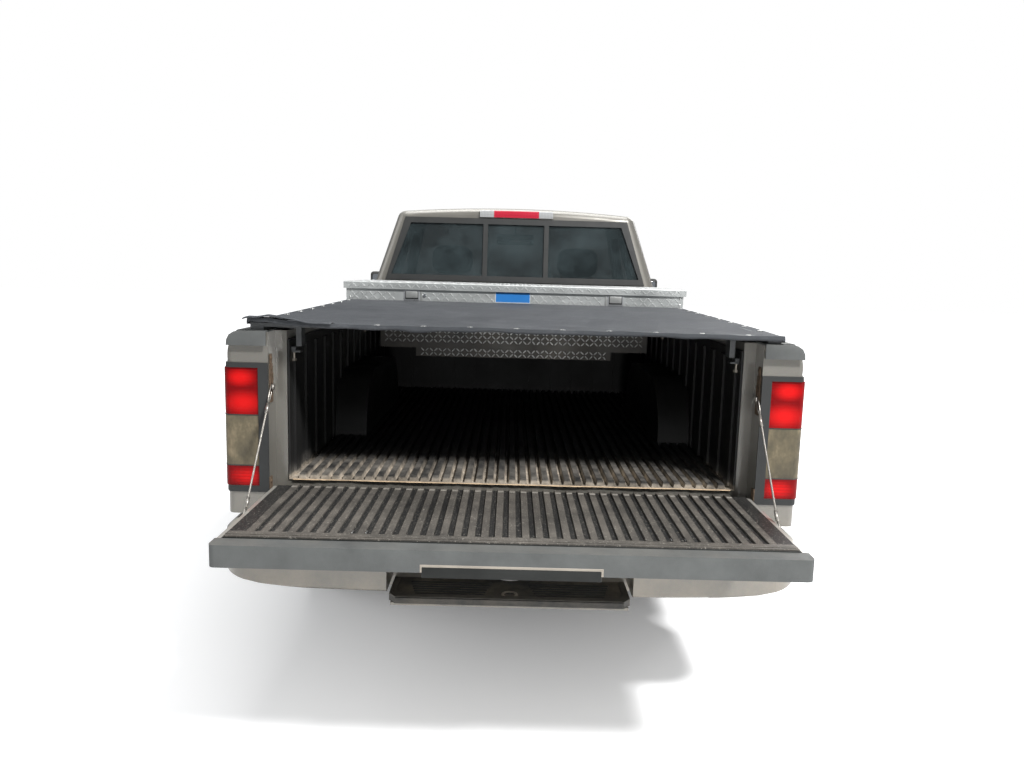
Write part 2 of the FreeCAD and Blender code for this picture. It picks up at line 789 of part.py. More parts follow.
def greenhouse(inset, roof_inset=None):
    """The cab above the belt as a solid, its walls moved in by an inset."""
    drop = inset if roof_inset is None else roof_inset
    base_z, top_z = mm.greenhouse_base_z, mm.greenhouse_top_z
    slant = 1.5
    base = plan_loop(
        base_z, mm.greenhouse_base_half - inset,
        mm.windshield_base_y + inset * slant, mm.windshield_base_y + WINDSHIELD_BOW + inset * slant,
        mm.cab_back_y - inset, mm.cab_back_y - BACK_BOW - inset,
    )
    top = plan_loop(
        top_z, mm.greenhouse_top_half - inset,
        mm.windshield_top_y + inset * slant, mm.windshield_top_y + 45 + inset * slant,
        mm.cab_back_y - BACK_LEAN - inset, mm.cab_back_y - BACK_LEAN - BACK_BOW - inset,
    )
    walls = Part.makeLoft([base, top], True, True)
    corners = [edge for edge in walls.Edges if edge.BoundBox.ZLength > 100]
    walls = walls.makeFillet(max(55 - inset, 12), corners)
    crown = flat_shape(
        [
            line((-900, 0, 1000), (900, 0, 1000)),
            line((900, 0, 1000), (900, 0, mm.roof_z - 57 - drop)),
            arc((900, 0, mm.roof_z - 57 - drop), (0, 0, mm.roof_z - drop), (-900, 0, mm.roof_z - 57 - drop)),
            line((-900, 0, mm.roof_z - 57 - drop), (-900, 0, 1000)),
        ],
        (0, 3000, 0),
    )
    crown.translate(V(0, -2000, 0))
    solid = walls.common(crown)
    lid = max(solid.Faces, key=lambda face: face.CenterOfMass.z)
    return solid.makeFillet(max(42 - drop, 8), lid.Edges)


def wall_half(z):
    """Half the cab's width at a height of its sloping walls."""
    share = (z - mm.greenhouse_base_z) / (mm.greenhouse_top_z - mm.greenhouse_base_z)
    return mm.greenhouse_base_half + share * (mm.greenhouse_top_half - mm.greenhouse_base_half)


class Cab:
    """The shared solids of the cab, made once."""


def make_cab_solids():
    front = mm.door_front_y - 9
    Cab.above = greenhouse(0)
    Cab.outer = lower_body(0, front, mm.cab_back_y).fuse(Cab.above)
    inner_low = lower_body(mm.door_wall, front + 40, mm.cab_back_y - mm.pillar_wall, mm.cab_floor_z)
    Cab.inner = inner_low.fuse(greenhouse(mm.pillar_wall, mm.roof_wall))
    under = block((-700, 700), (front - 10, mm.cab_back_y + 10), (mm.sill_z - 10, mm.cab_floor_z - 30))
    Cab.shell = Cab.outer.cut(Cab.inner).cut(under)


# Side-view outlines of the openings


def door_outline(grow):
    """The door's edge in side view, moved out by the gap round it."""
    front = mm.door_front_y - grow
    rear = mm.door_rear_y + grow
    belt_front = mm.door_front_y + 175 - grow * 1.4
    top_front = mm.door_front_y + 690 - grow * 1.4
    return [
        (front, mm.door_bottom_z - grow),
        (rear, mm.door_bottom_z - grow),
        (rear, mm.belt_z),
        (rear - 14 + grow * 0.6, mm.door_top_z + grow * 0.9),
        (top_front, mm.door_top_z + grow * 0.9),
        (belt_front, mm.belt_z + 4),
        (front + 30, 1066 + grow * 0.5),
        (front, 1050 + grow * 0.5),
    ]


def door_glass_outline(grow):
    return [
        (mm.door_front_y + 268 - grow * 1.5, mm.belt_z + 14 - grow),
        (mm.door_rear_y - 62 + grow, mm.belt_z + 14 - grow),
        (mm.door_rear_y - 75 + grow, mm.door_top_z - 46 + grow),
        (mm.door_front_y + 716 - grow * 1.5, mm.door_top_z - 46 + grow),
    ]


def quarter_glass_outline(grow):
    return [
        (-255 - grow, mm.belt_z + 18 - grow),
        (88 + grow, mm.belt_z + 18 - grow),
        (42 + grow, mm.door_top_z - 48 + grow),
        (-262 - grow, mm.door_top_z - 48 + grow),
    ]


def through(outline):
    """A cutting solid right across the vehicle from a side-view outline."""
    return side_prism(outline, -1000, 1000)


REAR_WINDOW_LOW = 1262
REAR_WINDOW_HIGH = 1548
REAR_WINDOW_WIDE = 660
REAR_WINDOW_NARROW = 562


def rear_window_outline(grow):
    """The rear window's opening in front view, as (x, z) pairs."""
    low, high = REAR_WINDOW_LOW - grow, REAR_WINDOW_HIGH + grow
    wide, narrow = REAR_WINDOW_WIDE + grow, REAR_WINDOW_NARROW + grow
    return [(-wide, low), (wide, low), (narrow, high), (-narrow, high)]


# Cab


def make_cab():
    joint = mm.roof_joint_z
    whole_y = (-2000, 600)
    roof_zone = block((-1000, 1000), whole_y, (joint, 1800))
    below = Cab.shell.cut(roof_zone)
    inner_half = [wall_half(z) - mm.pillar_wall - 3 for z in (mm.belt_z, joint + 40)]
    middle = front_prism(
        [
            (-700, 300), (700, 300), (700, mm.belt_z), (inner_half[0], mm.belt_z),
            (inner_half[1], joint + 40), (-inner_half[1], joint + 40),
            (-inner_half[0], mm.belt_z), (-700, mm.belt_z),
        ],
        *whole_y,
    )
    sides = below.cut(middle)
    middle_part = below.common(middle)
    back_zone = block((-1000, 1000), (0, 600), (mm.cab_floor_z, joint))
    windshield_zone = block((-1000, 1000), (-1600, -500), (mm.belt_z - 2, joint))
    rest = middle_part.cut(back_zone)

    inner_sill = lower_body(mm.door_wall + 7, -2000, mm.cab_back_y, None, mm.cab_floor_z)
    doorway = through(door_outline(9)).cut(inner_sill)
    openings = [doorway, through(quarter_glass_outline(0))]
    sides = sides.cut(openings)
    shape_node("cab_sides", add_hinge_brackets(sides))

    window = front_prism(rear_window_outline(0), 0, 600)
    back = middle_part.common(back_zone).cut(window)
    shape_node("cab_back", back)

    floor = largest(rest.cut(windshield_zone))
    front = mm.door_front_y - 9
    strip_zone = block((-HOOD_HALF - 5.6, HOOD_HALF + 5.6), (front - 30, front), (900, 1200))
    strip = front_end(0).cut(front_end(30)).common(strip_zone)
    cowl_pockets = [
        block(sorted((side * 580, side * 642)), (-1470, -1368), (955, 1200)) for side in (LEFT, RIGHT)
    ]
    shape_node("cab_floor", largest(floor.fuse(strip).removeSplitter().cut(cowl_pockets)))
    shape_node("cab_roof", Cab.shell.common(roof_zone))

    glass_skin = greenhouse(2).cut(greenhouse(8))
    windshield = glass_skin.common(middle).common(windshield_zone)
    panes = glass_skin.common(front_prism(rear_window_outline(-0.5), 0, 600))
    quarters = glass_skin.common(through(quarter_glass_outline(-0.5)))
    shape_node("cab_glass", Part.makeCompound([windshield, panes, quarters]))

    ring = front_prism(rear_window_outline(22), 0, 600).cut(front_prism(rear_window_outline(-8), 0, 600))
    bars = []
    for x in (-160, 160):
        bars.append(block((x - 12, x + 12), (0, 600), (REAR_WINDOW_LOW - 4, REAR_WINDOW_HIGH + 4)))
    frame_zone = ring.fuse(bars)
    proud = greenhouse(-7).cut(greenhouse(0))
    shape_node("rear_window_frame", proud.common(frame_zone))

    lamp_zone = block((-192, 192), (0, 600), (1576, 1612))
    lamp = greenhouse(-15, -2).cut(Cab.above).common(lamp_zone)
    shape_node("high_brake_lamp", lamp)


DOOR_PIN_RADIUS = 6
HINGE_RELIEF = 51


def pin_x():
    return mm.body_half_width - mm.hinge_inboard


def pin_y():
    return mm.door_front_y + mm.hinge_back


def add_hinge_brackets(sides):
    """Blocks on the front pillars that carry the door pins."""
    brackets = []
    relief = []
    for side in (LEFT, RIGHT):
        pin = side * pin_x()
        near = sorted((pin - side * 62, pin))
        relief.append(
            block(
                sorted((pin - side * HINGE_RELIEF, side * 900)), (pin_y() - 62, pin_y() + 20), (424, 1071),
            )
        )
        for z in (mm.hinge_low_z, mm.hinge_high_z):
            brackets.append(block(near, (pin_y() - 8, pin_y() + 8), (z - 18, z + 18)))
            brackets.append(tube_z(pin, pin_y(), (z - 18, z + 18), 9))
            brackets.append(tube_z(pin, pin_y(), (z - 46, z + 46), DOOR_PIN_RADIUS))
    pillar = [
        block(sorted((side * 742, side * (pin_x() - HINGE_RELIEF))), (-1421, pin_y() + 8), (395, 1078))
        for side in (LEFT, RIGHT)
    ]
    return sides.cut(relief).fuse(pillar + brackets).removeSplitter()


# Doors


def make_doors():
    skin = Cab.outer.cut(Cab.inner)
    skin = skin.cut(lower_body(mm.door_wall, -2000, mm.cab_back_y, None, mm.cab_floor_z + 1))
    for side, side_name in SIDES:
        half_space = block(sorted((0, side * 1000)), (-2000, 600), (0, 2000))
        one_side = skin.common(half_space).common(through(door_outline(0)))
        box_front = pin_y() + 15
        ahead = block(sorted((0, side * 1000)), (-2000, box_front), (0, 2000))
        thin = Cab.outer.common(ahead).cut(lower_body(4.5, -2000, 400))
        flange = one_side.common(thin)
        window = through(door_glass_outline(0))
        body = one_side.cut(ahead).cut(window).fuse(flange)
        knuckles = []
        bores = []
        pin = side * pin_x()
        for z in (mm.hinge_low_z, mm.hinge_high_z):
            for low, high in ((z - 44, z - 20), (z + 20, z + 44)):
                knuckles.append(tube_z(pin, pin_y(), (low, high), 10.5))
                leaf_x = sorted((pin - side * 10, pin + side * 8))
                knuckles.append(block(leaf_x, (pin_y(), box_front + 4), (low, high)))
            bores.append(tube_z(pin, pin_y(), (z - 50, z + 50), DOOR_PIN_RADIUS + mm.fit_gap))
        shape_node("door_%s" % side_name, body.fuse(knuckles).cut(bores).removeSplitter())

        glass_skin = greenhouse(4).cut(greenhouse(9)).common(half_space)
        glass = glass_skin.common(through(door_glass_outline(-0.5)))
        shape_node("door_glass_%s" % side_name, glass)

        root_y = -1130
        arm = block(sorted((side * 760, side * 850)), (root_y - 20, root_y + 20), (1120, 1146))
        head = block(sorted((side * 832, side * 985)), (root_y - 45, root_y + 45), (1118, 1273))
        head = head.makeFillet(22, head.Edges)
        foot = block(sorted((side * 740, side * 800)), (root_y - 45, root_y + 50), (1106, 1152))
        mirror = arm.fuse([head, foot]).cut(Cab.outer)
        shape_node("mirror_%s" % side_name, largest(mirror))


def largest(shape):
    return max(shape.Solids, key=lambda solid: solid.Volume)


# Front end


HOOD_FALL = 0.085
HOOD_REAR_GAP = 11
HOOD_HALF = 698
NOSE_Y = -2622


def front_end(inset):
    """The body ahead of the cab: crowned section, bowed plan and a rounded nose."""
    rear = mm.door_front_y - 9
    length = rear - NOSE_Y + 60

    def at(x, z, side=LEFT):
        return (side * (x - inset), 0, z - inset)

    low = mm.sill_z - 200
    edges = [
        line((-(800 - inset), 0, low), (800 - inset, 0, low)),
        line((800 - inset, 0, low), (800 - inset, 0, mm.sill_z)),
        arc((800 - inset, 0, mm.sill_z), (mm.body_half_width - inset, 0, mm.widest_z), at(822, 1012)),
        arc(at(822, 1012), at(800, 1050), at(735, 1064)),
        arc(at(735, 1064), (0, 0, 1094 - inset), at(735, 1064, RIGHT)),
        arc(at(735, 1064, RIGHT), at(800, 1050, RIGHT), at(822, 1012, RIGHT)),
        arc(at(822, 1012, RIGHT), (inset - mm.body_half_width, 0, mm.widest_z), (inset - 800, 0, mm.sill_z)),
        line((inset - 800, 0, mm.sill_z), (inset - 800, 0, low)),
    ]
    section = flat_shape(edges, (0, -length, -HOOD_FALL * length))
    section.translate(V(0, rear, 0))

    half = mm.body_half_width + 10 - inset
    nose = NOSE_Y + inset
    plan = flat_shape(
        [
            line((-half, 0, 0), (half, 0, 0)),
            line((half, 0, 0), (half, -2050, 0)),
            arc((half, -2050, 0), (half - 14, -2330, 0), (half - 72, -2510, 0)),
            arc((half - 72, -2510, 0), (half - 110, -2556, 0), (half - 170, nose + 42, 0)),
            arc((half - 170, nose + 42, 0), (0, nose, 0), (170 - half, nose + 42, 0)),
            arc((170 - half, nose + 42, 0), (110 - half, -2556, 0), (72 - half, -2510, 0)),
            arc((72 - half, -2510, 0), (14 - half, -2330, 0), (-half, -2050, 0)),
            line((-half, -2050, 0), (-half, 0, 0)),
        ],
        (0, 0, 1400),
    )
    profile = flat_shape(
        [
            line((0, 0, 0), (0, 0, 1300)),
            line((0, 0, 1300), (0, -2300, 1300)),
            line((0, -2300, 1300), (0, -2300, 1100 - inset)),
            arc((0, -2300, 1100 - inset), (0, nose + 92, 965 - inset), (0, nose + 14, 830 - inset)),
            line((0, nose + 14, 830 - inset), (0, nose, 0)),
            line((0, nose, 0), (0, 0, 0)),
        ],
        (2000, 0, 0),
    )
    profile.translate(V(-1000, 0, 0))
    return section.common(plan).common(profile)


LAMP_LOW = 724
LAMP_HIGH = 868
GRILLE_HALF = 452
HOOD_PIN = 6


def make_front_end():
    rear = mm.door_front_y - 9
    axle_y = mm.front_axle_y
    outer = front_end(0)
    hood_skin = outer.cut(front_end(20))
    wall = outer.cut(front_end(30))

    hood_rear = rear - HOOD_REAR_GAP - 30
    hood_front = NOSE_Y + 40
    hood_zone = plan_prism(
        [
            (-HOOD_HALF, hood_rear), (HOOD_HALF, hood_rear), (HOOD_HALF - 20, -2300),
            (HOOD_HALF - 70, hood_front + 60), (HOOD_HALF - 120, hood_front - 60),
            (120 - HOOD_HALF, hood_front - 60), (70 - HOOD_HALF, hood_front + 60), (20 - HOOD_HALF, -2300),
        ],
        LAMP_HIGH + 22, 1300,
    )
    lip_relief = block((-700, 700), (hood_rear - 24, hood_rear + 5), (700, 1300)).cut(
        outer.cut(front_end(5))
    )
    hood = hood_skin.common(hood_zone).cut(lip_relief)
    hinge_y = hood_rear + 60
    hinge_z = 1052
    arms = []
    for side in (LEFT, RIGHT):
        x = sorted((side * 592, side * 612))
        goose_neck = side_prism(
            (
                (hinge_y - 14, hinge_z - 14), (hinge_y + 14, hinge_z - 14), (hinge_y + 14, hinge_z + 10),
                (hinge_y - 14, hinge_z + 10), (hood_rear - 16, hinge_z - 2), (hood_rear - 70, hinge_z + 8),
                (hood_rear - 260, hinge_z - 12), (hood_rear - 260, hinge_z - 28),
                (hood_rear - 60, hinge_z - 32),
            ),
            *x,
        )
        arms.append(goose_neck.cut(tube_x(x, hinge_y, hinge_z, HOOD_PIN + mm.fit_gap)))
    hood = hood.fuse([largest(arm) for arm in arms])
    shape_node("hood", largest(hood.removeSplitter()))

    around_hood = plan_prism(
        [
            (-HOOD_HALF - 7, rear + 20), (HOOD_HALF + 7, rear + 20), (HOOD_HALF - 13, -2305),
            (HOOD_HALF - 63, hood_front + 58), (HOOD_HALF - 113, hood_front - 62),
            (113 - HOOD_HALF, hood_front - 62), (63 - HOOD_HALF, hood_front + 58), (13 - HOOD_HALF, -2305),
        ],
        200, 1300,
    )
    arch = tube_x((-1000, 1000), axle_y, mm.tyre_diameter / 2, mm.arch_radius)
    lamp_zone = block((-1000, 1000), (-3000, -2330), (LAMP_LOW, LAMP_HIGH)).cut(
        block((-GRILLE_HALF - 4, GRILLE_HALF + 4), (-3000, -2300), (0, 2000))
    )
    bumper_zone = block((-1000, 1000), (-3000, axle_y - mm.arch_radius - 6), (0, 640))
    relief = block((-1000, 1000), (rear - 62, rear + 10), (0, 1010)).common(front_end(4))
    grille_reach = GRILLE_HALF + 4 - mm.seat_gap
    grille_zone = block((-grille_reach, grille_reach), (-3000, -2400), (646, LAMP_HIGH + 14))
    fenders = wall.cut([around_hood, arch, lamp_zone, bumper_zone, relief, grille_zone])
    fenders = fenders.cut(block((-1000, 1000), (-3000, 0), (0, mm.sill_z)))
    big = [solid for solid in fenders.Solids if solid.Volume > 1e6]
    shape_node("front_fenders", Part.makeCompound(big))

    lamp_body = outer.cut(front_end(70))
    lamps = lamp_body.common(lamp_zone).cut(block((-620, 620), (-2480, -2300), (0, 2000)))
    shape_node("headlamps", Part.makeCompound([s for s in lamps.Solids if s.Volume > 1e5]))

    grille = wall.common(grille_zone)
    slots = []
    for index in range(4):
        low = 672 + index * 48
        for x_from, x_to in ((-GRILLE_HALF + 22, -12), (12, GRILLE_HALF - 22)):
            slots.append(block((x_from, x_to), (-3000, -2400), (low, low + 34)))
    shape_node("grille", largest(grille.cut(slots)))

    make_front_structure(hinge_y, hinge_z)
    make_front_bumper()


def make_front_structure(hinge_y, hinge_z):
    """Radiator support, inner fenders and the hood's hinge posts."""
    pieces = []
    for side in (LEFT, RIGHT):
        pieces.append(block(sorted((side * 560, side * 575)), (-2460, -1432), (600, 880)))
        pieces.append(block(sorted((side * 560, side * 668)), (-2460, -1432), (880, 900)))
        outer = sorted((side * 613, side * 640))
        pieces.append(block(outer, (-1520, -1434), (900, hinge_z - 60)))
        post = side_prism(
            (
                (-1520, hinge_z - 70), (-1434, hinge_z - 70), (hinge_y + 15, hinge_z - 16),
                (hinge_y + 15, hinge_z + 12), (hinge_y - 15, hinge_z + 12),
            ),
            *sorted((side * 618, side * 632)),
        )
        pieces.append(post)
        pieces.append(tube_x(sorted((side * 586, side * 626)), hinge_y, hinge_z, HOOD_PIN))
    pieces.append(block((-575, 575), (mm.seat_gap - 2480, -2445), (532, 880)))
    support = pieces[0].fuse(pieces[1:])
    opening = block((-330, 330), (-2520, -2440), (565, 840))
    arch = tube_x((-1000, 1000), mm.front_axle_y, mm.tyre_diameter / 2, 440)
    shape = support.cut([opening, arch])
    shape_node("front_structure", shape.removeSplitter())


def make_front_bumper():
    """A bowed bumper with rounded corners, hollow behind its face."""

    def plan(inset):
        half = 838 - inset
        face = mm.front_face_y + inset
        return [
            line((-half, -2310, 0), (half, -2310, 0)),
            line((half, -2310, 0), (half - 14, -2500, 0)),
            arc((half - 14, -2500, 0), (half - 52, -2580, 0), (half - 130, face + 56, 0)),
            arc((half - 130, face + 56, 0), (0, face, 0), (130 - half, face + 56, 0)),
            arc((130 - half, face + 56, 0), (52 - half, -2580, 0), (14 - half, -2500, 0)),
            line((14 - half, -2500, 0), (-half, -2310, 0)),
        ]

    outer = flat_shape(plan(0), (0, 0, 270))
    outer.translate(V(0, 0, 365))
    rims = [e for e in outer.Edges if e.BoundBox.ZLength < 1 and e.BoundBox.YMin < -2400]
    outer = outer.makeFillet(22, rims)
    inner = flat_shape(plan(26), (0, 0, 400))
    inner.translate(V(0, 0, 300))
    inner = inner.fuse(block((-790, 790), (-2330, -2250), (300, 700)))
    intake = block((-330, 330), (-2800, -2500), (410, 500))
    lamps = [block(sorted((side * 450, side * 590)), (-2800, -2500), (425, 495)) for side in (LEFT, RIGHT)]
    brackets = [
        block(sorted((side * 312, side * 368)), (-2660, -2575 - mm.seat_gap), (435, 525))
        for side in (LEFT, RIGHT)
    ]
    shell = outer.cut(inner).cut([intake] + lamps)
    solid = largest(shell.fuse([bracket.common(outer) for bracket in brackets]).removeSplitter())
    shape_node("front_bumper", solid)


# Cab interior


STEERING_TILT = 28
STEERING_CENTRE = (365, -945, 985)
COLUMN_RADIUS = 22


def steering_place():
    """The steering wheel's middle, with its axis tilted up towards the driver."""
    turn = FreeCAD.Rotation(V(1, 0, 0), STEERING_TILT - 90)
    return FreeCAD.Placement(V(*STEERING_CENTRE), turn)


def make_dashboard():
    """The dashboard with the steering column's housing."""
    wall = mm.seat_gap - 1385
    panel = side_prism(
        (
            (wall, 700), (-1240, 690), (-1130, 760), (-1095, 900), (-1120, 985),
            (-1200, 1035), (wall, 1060),
        ),
        -695, 695,
    )
    housing = Part.makeCylinder(32, 160, V(0, 0, -220))
    bore = Part.makeCylinder(COLUMN_RADIUS + mm.fit_gap, 90, V(0, 0, -145))
    housing.Placement = steering_place()
    bore.Placement = steering_place()
    shape_node("dashboard", panel.fuse(housing).cut(bore).removeSplitter())


def make_seats():
    """Two bucket seats with their head restraints, and a column under each."""
    shapes = []
    for side in (LEFT, RIGHT):
        cushion = side_prism(
            ((-900, 640), (-420, 620), (-390, 700), (-440, 770), (-880, 790), (-925, 740)),
            side * 130, side * 600,
        )
        back = side_prism(
            ((-470, 700), (-390, 690), (-255, 1230), (-275, 1265), (-340, 1265), (-375, 1235)),
            side * 140, side * 590,
        )
        head = block(sorted((side * 250, side * 480)), (-345, -245), (1268, 1440))
        head = head.makeFillet(38, [e for e in head.Edges if e.BoundBox.YLength > 50])
        posts = [tube_z(side * x, -300, (1240, 1300), 7) for x in (320, 410)]
        base = block(sorted((side * 180, side * 550)), (-860, -440), (mm.cab_floor_z, 650))
        shapes.append(cushion.fuse([back, head, base] + posts).removeSplitter())
    shape_node("front_seats", Part.makeCompound(shapes))


def make_steering_wheel():
    """Rim, spokes and hub, with the column's end towards the dashboard."""
    rim = Part.makeTorus(182, 14)
    hub = Part.makeCylinder(48, 40, V(0, 0, -26))
    column = Part.makeCylinder(COLUMN_RADIUS, 120, V(0, 0, -140))
    spokes = [block((-178, -30), (-14, 14), (-10, 6)), block((30, 178), (-14, 14), (-10, 6))]
    spokes.append(block((-14, 14), (-178, -30), (-10, 6)))
    shape = rim.fuse([hub, column] + spokes).removeSplitter()
    shape_node("steering_wheel", shape, steering_place())


# Bed


def bed_taper(shape, inset=0):
    """Draw the bed's tail in by a shallow curve in plan."""
    half = mm.body_half_width + 2 - inset
    tail = mm.tail_y
    narrow = half - 18
    plan = flat_shape(
        [
            line((-half, mm.bed_front_y - 10, 0), (half, mm.bed_front_y - 10, 0)),
            line((half, mm.bed_front_y - 10, 0), (half, mm.rear_axle_y + 500, 0)),
            arc((half, mm.rear_axle_y + 500, 0), (half - 5, tail - 280, 0), (narrow, tail - 24, 0)),
            arc((narrow, tail - 24, 0), (narrow - 8, tail - 6, 0), (narrow - 28, tail, 0)),
            line((narrow - 28, tail, 0), (28 - narrow, tail, 0)),
            arc((28 - narrow, tail, 0), (8 - narrow, tail - 6, 0), (-narrow, tail - 24, 0)),
            arc((-narrow, tail - 24, 0), (5 - half, tail - 280, 0), (-half, mm.rear_axle_y + 500, 0)),
            line((-half, mm.rear_axle_y + 500, 0), (-half, mm.bed_front_y - 10, 0)),
        ],
        (0, 0, 1400),
    )
    return shape.common(plan)


def bed_section(inset, low_z, high_z):
    """The bed's outer form as a solid, with its shoulder rounded under the caps."""

    def at(x, z, side=LEFT):
        return (side * (x - inset), 0, z)

    edges = [
        line(at(800, low_z, RIGHT), at(800, low_z)),
        line(at(800, low_z), at(800, mm.sill_z)),
        arc(at(800, mm.sill_z), at(mm.body_half_width, mm.widest_z), at(822, 1030)),
        arc(at(822, 1030), at(815, 1075), at(786, high_z)),
        line(at(786, high_z), at(786, high_z, RIGHT)),
        arc(at(786, high_z, RIGHT), at(815, 1075, RIGHT), at(822, 1030, RIGHT)),
        arc(at(822, 1030, RIGHT), at(mm.body_half_width, mm.widest_z, RIGHT), at(800, mm.sill_z, RIGHT)),
        line(at(800, mm.sill_z, RIGHT), at(800, low_z, RIGHT)),
    ]
    solid = flat_shape(edges, (0, mm.tail_y - mm.bed_front_y, 0))
    solid.translate(V(0, mm.bed_front_y, 0))
    return bed_taper(solid, inset)


def wheelhouse_outline(grow):
    """A wheelhouse in side view: flat on top with rounded shoulders."""
    axle_y = mm.rear_axle_y
    top = mm.wheelhouse_z + grow
    low = 560
    foot = 424 + grow
    shoulder = 250 + grow / 2
    edges = [
        line((0, axle_y - foot, low), (0, axle_y + foot, low)),
        line((0, axle_y + foot, low), (0, axle_y + foot - 12, 700)),
        arc(
            (0, axle_y + foot - 12, 700), (0, axle_y + foot - 68, top - 68),
            (0, axle_y + shoulder - 20, top),
        ),
        line((0, axle_y + shoulder - 20, top), (0, axle_y - shoulder + 20, top)),
        arc(
            (0, axle_y - shoulder + 20, top), (0, axle_y - foot + 68, top - 68),
            (0, axle_y - foot + 12, 700),
        ),
        line((0, axle_y - foot + 12, 700), (0, axle_y - foot, low)),
    ]
    return edges


def wheelhouse_solid(grow, x_from, x_to):
    solid = flat_shape(wheelhouse_outline(grow), (x_to - x_from, 0, 0))
    solid.translate(V(x_from, 0, 0))
    return solid


TAILGATE_PIN_RADIUS = 7
LAMP_POCKET = 60
TAIL_LAMP_LOW = 644
TAIL_LAMP_HIGH = 1022
LENS_LOW = 662
LENS_HIGH = 1007.5
LENS_INNER = 733


def lamp_zone(low, high, inner_x, depth):
    """The tail corner region that a lamp takes up, on both sides."""
    left = block((inner_x, 900), (mm.tail_y - depth, mm.tail_y + 30), (low, high))
    return left, flipped(left)


def make_bed_sides():
    """Outer sides with their wheel openings, jambs and lamp pockets."""
    solid = bed_section(0, 500, mm.bed_side_top_z)
    half = mm.bed_wall_x
    inside = block((-half, half), (0, 3000), (0, 2000))
    jamb = block((-mm.jamb_x, mm.jamb_x), (mm.tail_y - mm.jamb_depth, 3000), (0, 2000))
    arch = tube_x((-1000, 1000), mm.rear_axle_y, mm.tyre_diameter / 2, mm.arch_radius)
    hollow = []
    for side in (LEFT, RIGHT):
        pocket_x = sorted((side * (half + 12), side * 790))
        hollow.append(block(pocket_x, (mm.bed_front_y + 60, mm.tail_y - 160), (490, 700)))
    pockets = lamp_zone(LENS_LOW, LENS_HIGH, LENS_INNER, LAMP_POCKET)
    corner_cut = side_prism(
        (
            (mm.tail_y - 360, 400), (mm.tail_y + 40, 400), (mm.tail_y + 40, 579),
            (mm.tail_y - 245, 579), (mm.tail_y - 300, 520),
        ),
        -900, 900,
    )
    low_cut = block((-900, 900), (mm.bed_front_y, 3000), (300, 500))
    sides = solid.cut([inside, jamb, arch, corner_cut, low_cut] + hollow + list(pockets))
    pin_y_place = mm.tail_y - mm.tailgate_pin_back
    bosses = []
    bores = []
    for side in (LEFT, RIGHT):
        boss_x = sorted((side * mm.jamb_x, side * (mm.jamb_x + 24)))
        boss_z = (mm.tailgate_pin_z - 16, mm.tailgate_pin_z + 16)
        bosses.append(block(boss_x, (mm.tail_y - 30, pin_y_place + 14), boss_z))
        bores.append(tube_x(boss_x, pin_y_place, mm.tailgate_pin_z, TAILGATE_PIN_RADIUS + mm.fit_gap))
    sides = sides.fuse(bosses).cut(bores)
    shape_node("bed_sides", Part.makeCompound([s for s in sides.Solids if s.Volume > 1e6]))


def make_bed_floor():
    """Floor panel with its cross sills and the bed's front wall."""
    half = mm.bed_wall_x
    low = mm.bed_floor_z - mm.bed_floor_depth
    front = mm.bed_front_y
    end = mm.tail_y - mm.jamb_depth
    pieces = [block((-half, half), (front, end), (low, mm.bed_floor_z))]
    pieces.append(block((-half, half), (front, front + 25), (low, mm.bed_side_top_z)))
    for y in (front + 60, 700, 1520, 1850):
        pieces.append(block((-half + 4, half - 4), (y - 30, y + 30), (582, low)))
    rear_sill = (mm.rear_bumper_top_z + mm.seat_gap, 586)
    pieces.append(block((-mm.jamb_x + 3, mm.jamb_x - 3), (end + 0.3, mm.tail_y - 10), rear_sill))
    pieces.append(block((-half + 4, half - 4), (end - 4, end + 10), rear_sill))
    pieces.append(block((-half + 4, half - 4), (end - 40, end - 4), (rear_sill[0], low)))
    floor = pieces[0].fuse(pieces[1:])
    notches = [
        wheelhouse_solid(0.3, *sorted((side * mm.wheelhouse_x, side * 900))) for side in (LEFT, RIGHT)
    ]
    shape_node("bed_floor", floor.cut(notches).removeSplitter())


def make_wheelhouses():
    shapes = []
    wall = 8
    for side in (LEFT, RIGHT):
        x = sorted((side * mm.wheelhouse_x, side * (mm.bed_wall_x - 0.2)))
        hollow_x = sorted((side * (mm.wheelhouse_x + wall), side * 900))
        shape = wheelhouse_solid(0, *x).cut(wheelhouse_solid(-wall, *hollow_x))
        shape = shape.cut(block((-900, 900), (0, 3000), (500, 640)))
        shapes.append(largest(shape))
    shape_node("wheelhouses", Part.makeCompound(shapes))


